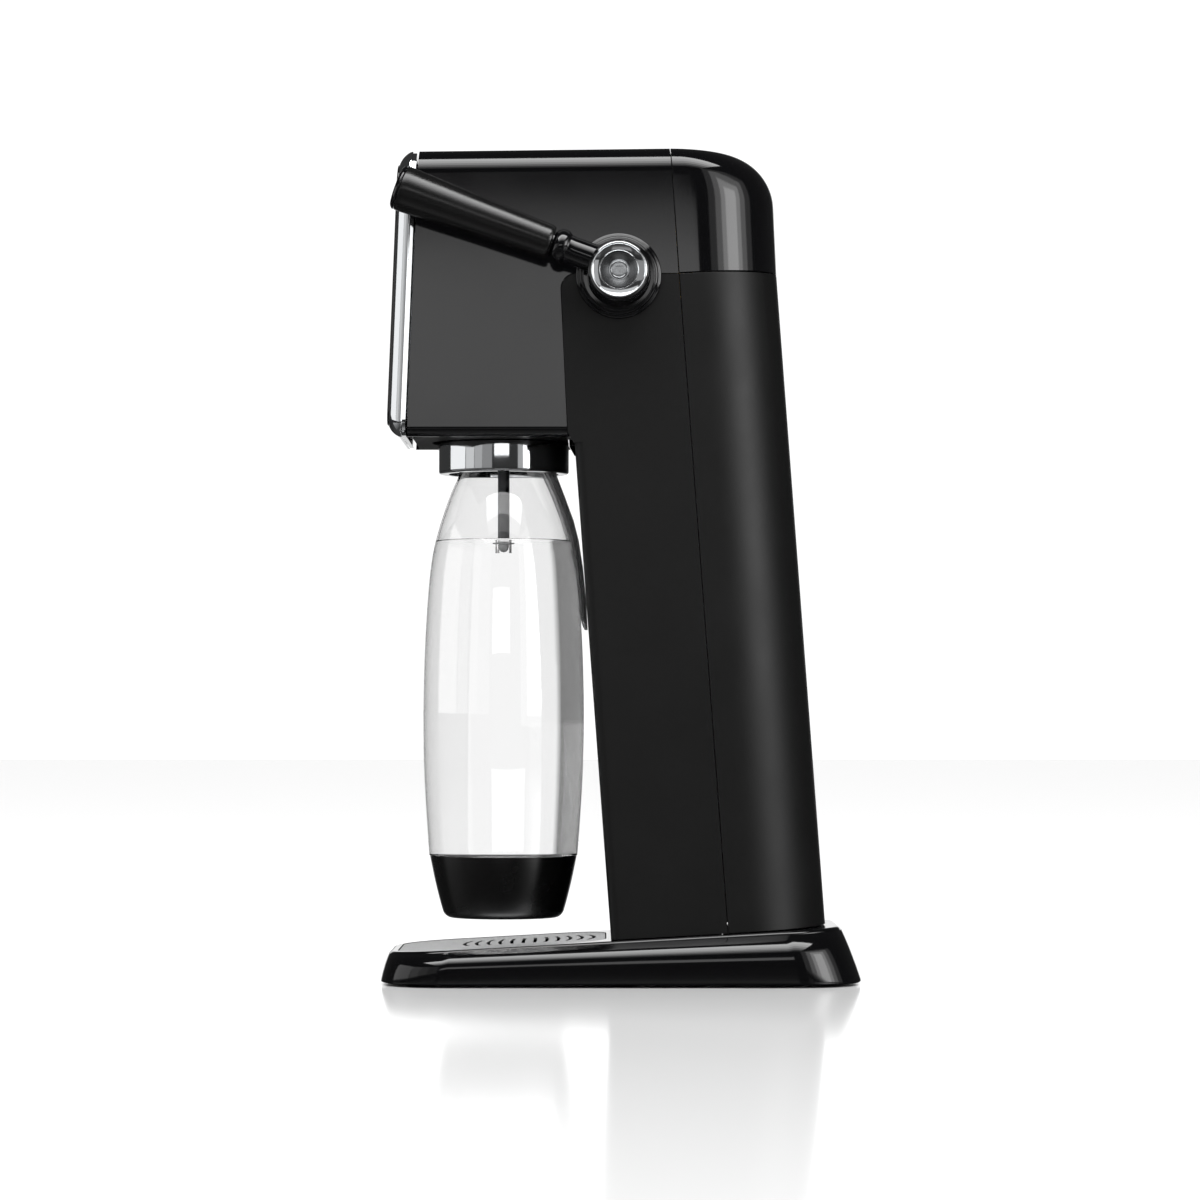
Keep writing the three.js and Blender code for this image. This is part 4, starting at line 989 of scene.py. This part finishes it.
# %% Bottle, cup and water
CUP_RIM = 65.0
MOUTH = in_mm("bottle_body")[1][2]
BOTTLE_WALL = 1.2
side = curve_through([(38.9, 65.35), (41.5, 106), (42.2, 142), (40.9, 184), (37.4, 222),
                      (29.4, 250.5), (19.5, 272), (15.4, 277)], 8)
foot = curve_through([(0, 40), (16, 36.6), (27, 37.6), (33, 46), (36.6, 60), (36.9, 65.3)], 5)
inner_foot = [(35.7, 60), (34.4, 54), (32, 47), (29.6, 42), (26.4, 39), (21, 38.2), (16, 38.2),
              (8, 39.4), (0, 41.4)]
neck_out = [(17, 279), (17, 281), (14.2, 282), (14.2, MOUTH - 0.4), (13.8, MOUTH)]
neck_in = [(12.0, MOUTH), (11.6, MOUTH - 0.4), (11.6, 279), (13.6, 276.6)]
inside_wall = [(r - BOTTLE_WALL, z) for r, z in reversed(side[:-1])]
bottle = turned("clear_bottle", foot + side + neck_out + neck_in + inside_wall + inner_foot,
                BOTTLE_AXIS, "Z", 128)
hand_over(smooth_turned(bottle, 40), "bottle", "clear_plastic", clear_pet, "bottle_body")

cup = turned("matt_bottle_cup", eased([
    (0, 34.1), (22, 34.1, 0.5), (24, 32.7, 0.8), (28.4, 32.7, 2), (31.2, 34.9, 2), (33, 41, 3),
    (35.8, 52, 6), (38.4, CUP_RIM, 0.3), (37.4, CUP_RIM, 0.3), (37.2, 60, 1), (33.6, 45.8, 3),
    (28, 36.4, 2), (0, 35.6)]), BOTTLE_AXIS, "Z", 128)
hand_over(smooth_turned(cup), "bottle", "soft_black", cup_black, "bottle_base_cup")

WATER_LINE = 229.8
OVERLAP = 0.08
wet = [(r, z) for r, z in reversed(inside_wall) if z < WATER_LINE - 1.5]
edge = max(r for r, z in inside_wall if z > WATER_LINE - 6 and z < WATER_LINE + 8)
body_of_water = [(0, 41.4 - OVERLAP)] + [(r, z - OVERLAP) for r, z in reversed(inner_foot[:-1])]
body_of_water += [(r + OVERLAP, z) for r, z in wet]
body_of_water += [(edge + OVERLAP, WATER_LINE), (edge - 1.2, WATER_LINE - 0.5),
                  (edge - 4.0, WATER_LINE - 0.7), (4.2, WATER_LINE - 0.7),
                  (3.3, WATER_LINE - 0.2), (3.3, 221.5), (0, 221.5)]
still_water = turned("water_in_bottle", body_of_water, BOTTLE_AXIS, "Z", 128)
hand_over(smooth_turned(still_water, 40), "bottle", "clear_plastic", water)

# %% [markdown]
# ## Nozzle
# The carbonating nozzle hangs down into the water: a plain dark tube with a pale tip whose small
# holes let the gas out. Both are turned pieces.

# %% Nozzle
TUBE_TOP = in_mm("nozzle_tube")[1][2]
tube = turned("nozzle_tube_round", eased([
    (0, 229), (3.05, 229, 0.3), (3.05, 303, 0.2), (3.9, 303, 0.2), (3.9, 309, 0.3), (7, 309, 0.5),
    (7, TUBE_TOP, 0.5), (0, TUBE_TOP)]), BOTTLE_AXIS, "Z", 64)
hand_over(smooth_turned(tube), "carriage", "nylon", nylon, "nozzle_tube")
tip_piece = turned("nozzle_tip_round", eased([
    (0, 222), (1.7, 222.6, 0.8), (2.7, 225, 1), (2.8, 227.5, 0.3), (4.3, 227.8, 0.3),
    (4.3, 228.6, 0.2), (0, 228.6)]), BOTTLE_AXIS, "Z", 64)
hand_over(smooth_turned(tip_piece), "carriage", "silicone", silicone, "nozzle_tip")

# %% [markdown]
# ## Screws under the base
# Four pan-head screws hold the bottom plate. They are one shape repeated, so a small Geometry Nodes
# tree puts the same screw, with its cross recess, on four points.

# %% Screws under the base
screw_nodes = ["bottom_screw_%d" % n for n in range(1, 5)]
screw_middles = [[(a + b) / 2 for a, b in zip(*in_mm(node))] for node in screw_nodes]
screw_foot = in_mm("bottom_screw_1")[0][2]
screw = turned("pan_head", eased([
    (0, 0), (2.7, 0, 0.6), (3.5, 0.7, 0.5), (3.5, 1.6, 0.1), (1.6, 2.4, 0.2), (1.6, 3.4),
    (0, 3.4)]), (0, 0), "Z", 32)
recess = cuboid("recess", (-1.9, -0.35, -1), (1.9, 0.35, 0.9))
cross = cuboid("cross", (-0.35, -1.9, -1), (0.35, 1.9, 0.9))
smooth_turned(shaped(screw, cut=[recess, cross]), 30)

screw_tree, given, result = tree_with_inputs("screws_on_points", [
    ("Screw", "NodeSocketObject", None), ("Screw finish", "NodeSocketMaterial", None)])
source = add_node(screw_tree, "GeometryNodeObjectInfo", {"As Instance": True},
                  {"Object": given["Screw"]})
placed = add_node(screw_tree, "GeometryNodeInstanceOnPoints", None,
                  {"Points": given["Geometry"], "Instance": source.outputs["Geometry"]})
solid = add_node(screw_tree, "GeometryNodeRealizeInstances", None, {0: placed.outputs[0]})
painted = add_node(screw_tree, "GeometryNodeSetMaterial", None,
                   {"Geometry": solid.outputs[0], "Material": given["Screw finish"]})
screw_tree.links.new(painted.outputs[0], result[0])

spots = bpy.data.meshes.new("screw_spots")
spots.from_pydata([(x * MM, y * MM, screw_foot * MM) for x, y, z in screw_middles], [], [])
screws = bpy.data.objects.new("bottom_screws", spots)
bpy.context.scene.collection.objects.link(screws)
run_tree(screws, screw_tree, {"Screw": screw, "Screw finish": machined_steel})
bpy.data.objects.remove(screw)
hand_over(screws, "body", "steel", machined_steel, *screw_nodes)

# %% [markdown]
# # The pieces that keep their CAD shape
# Inner parts, the bottle guide and the small trim are right as drawn, so they keep their meshes and
# only get the finish of the real material.

# %% Finishes for the pieces that keep their shape
finishes = {
    soft_black: ["base_bottom_plate", "drip_basin", "head_bottom_cover", "carriage_body"],
    satin_black: ["cover_button"],
    rubber_black: ["foot_strip_front", "foot_strip_middle", "foot_strip_rear"],
    hose_black: ["gas_hose", "feed_pipe"],
    nylon: ["chassis", "cylinder_cradle", "shaft_bush_right", "shaft_bush_left", "lever_cam"],
    machined_steel: ["lever_shaft", "retaining_ring", "lever_return_spring", "plunger_spring",
                     "swing_pin", "valve_plunger"],
    brass: ["valve_block", "relief_valve", "cylinder_valve", "hose_swivel"],
    powder_coat: ["gas_cylinder"],
    silicone: ["bottle_seal"],
    guide_clear: ["bottle_guide"],
}
kept = 0
for finish, names in finishes.items():
    for name in names:
        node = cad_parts[name]
        for place in node.material_slots:
            place.material = finish
        kept += 1
print(kept, "pieces keep their CAD shape")
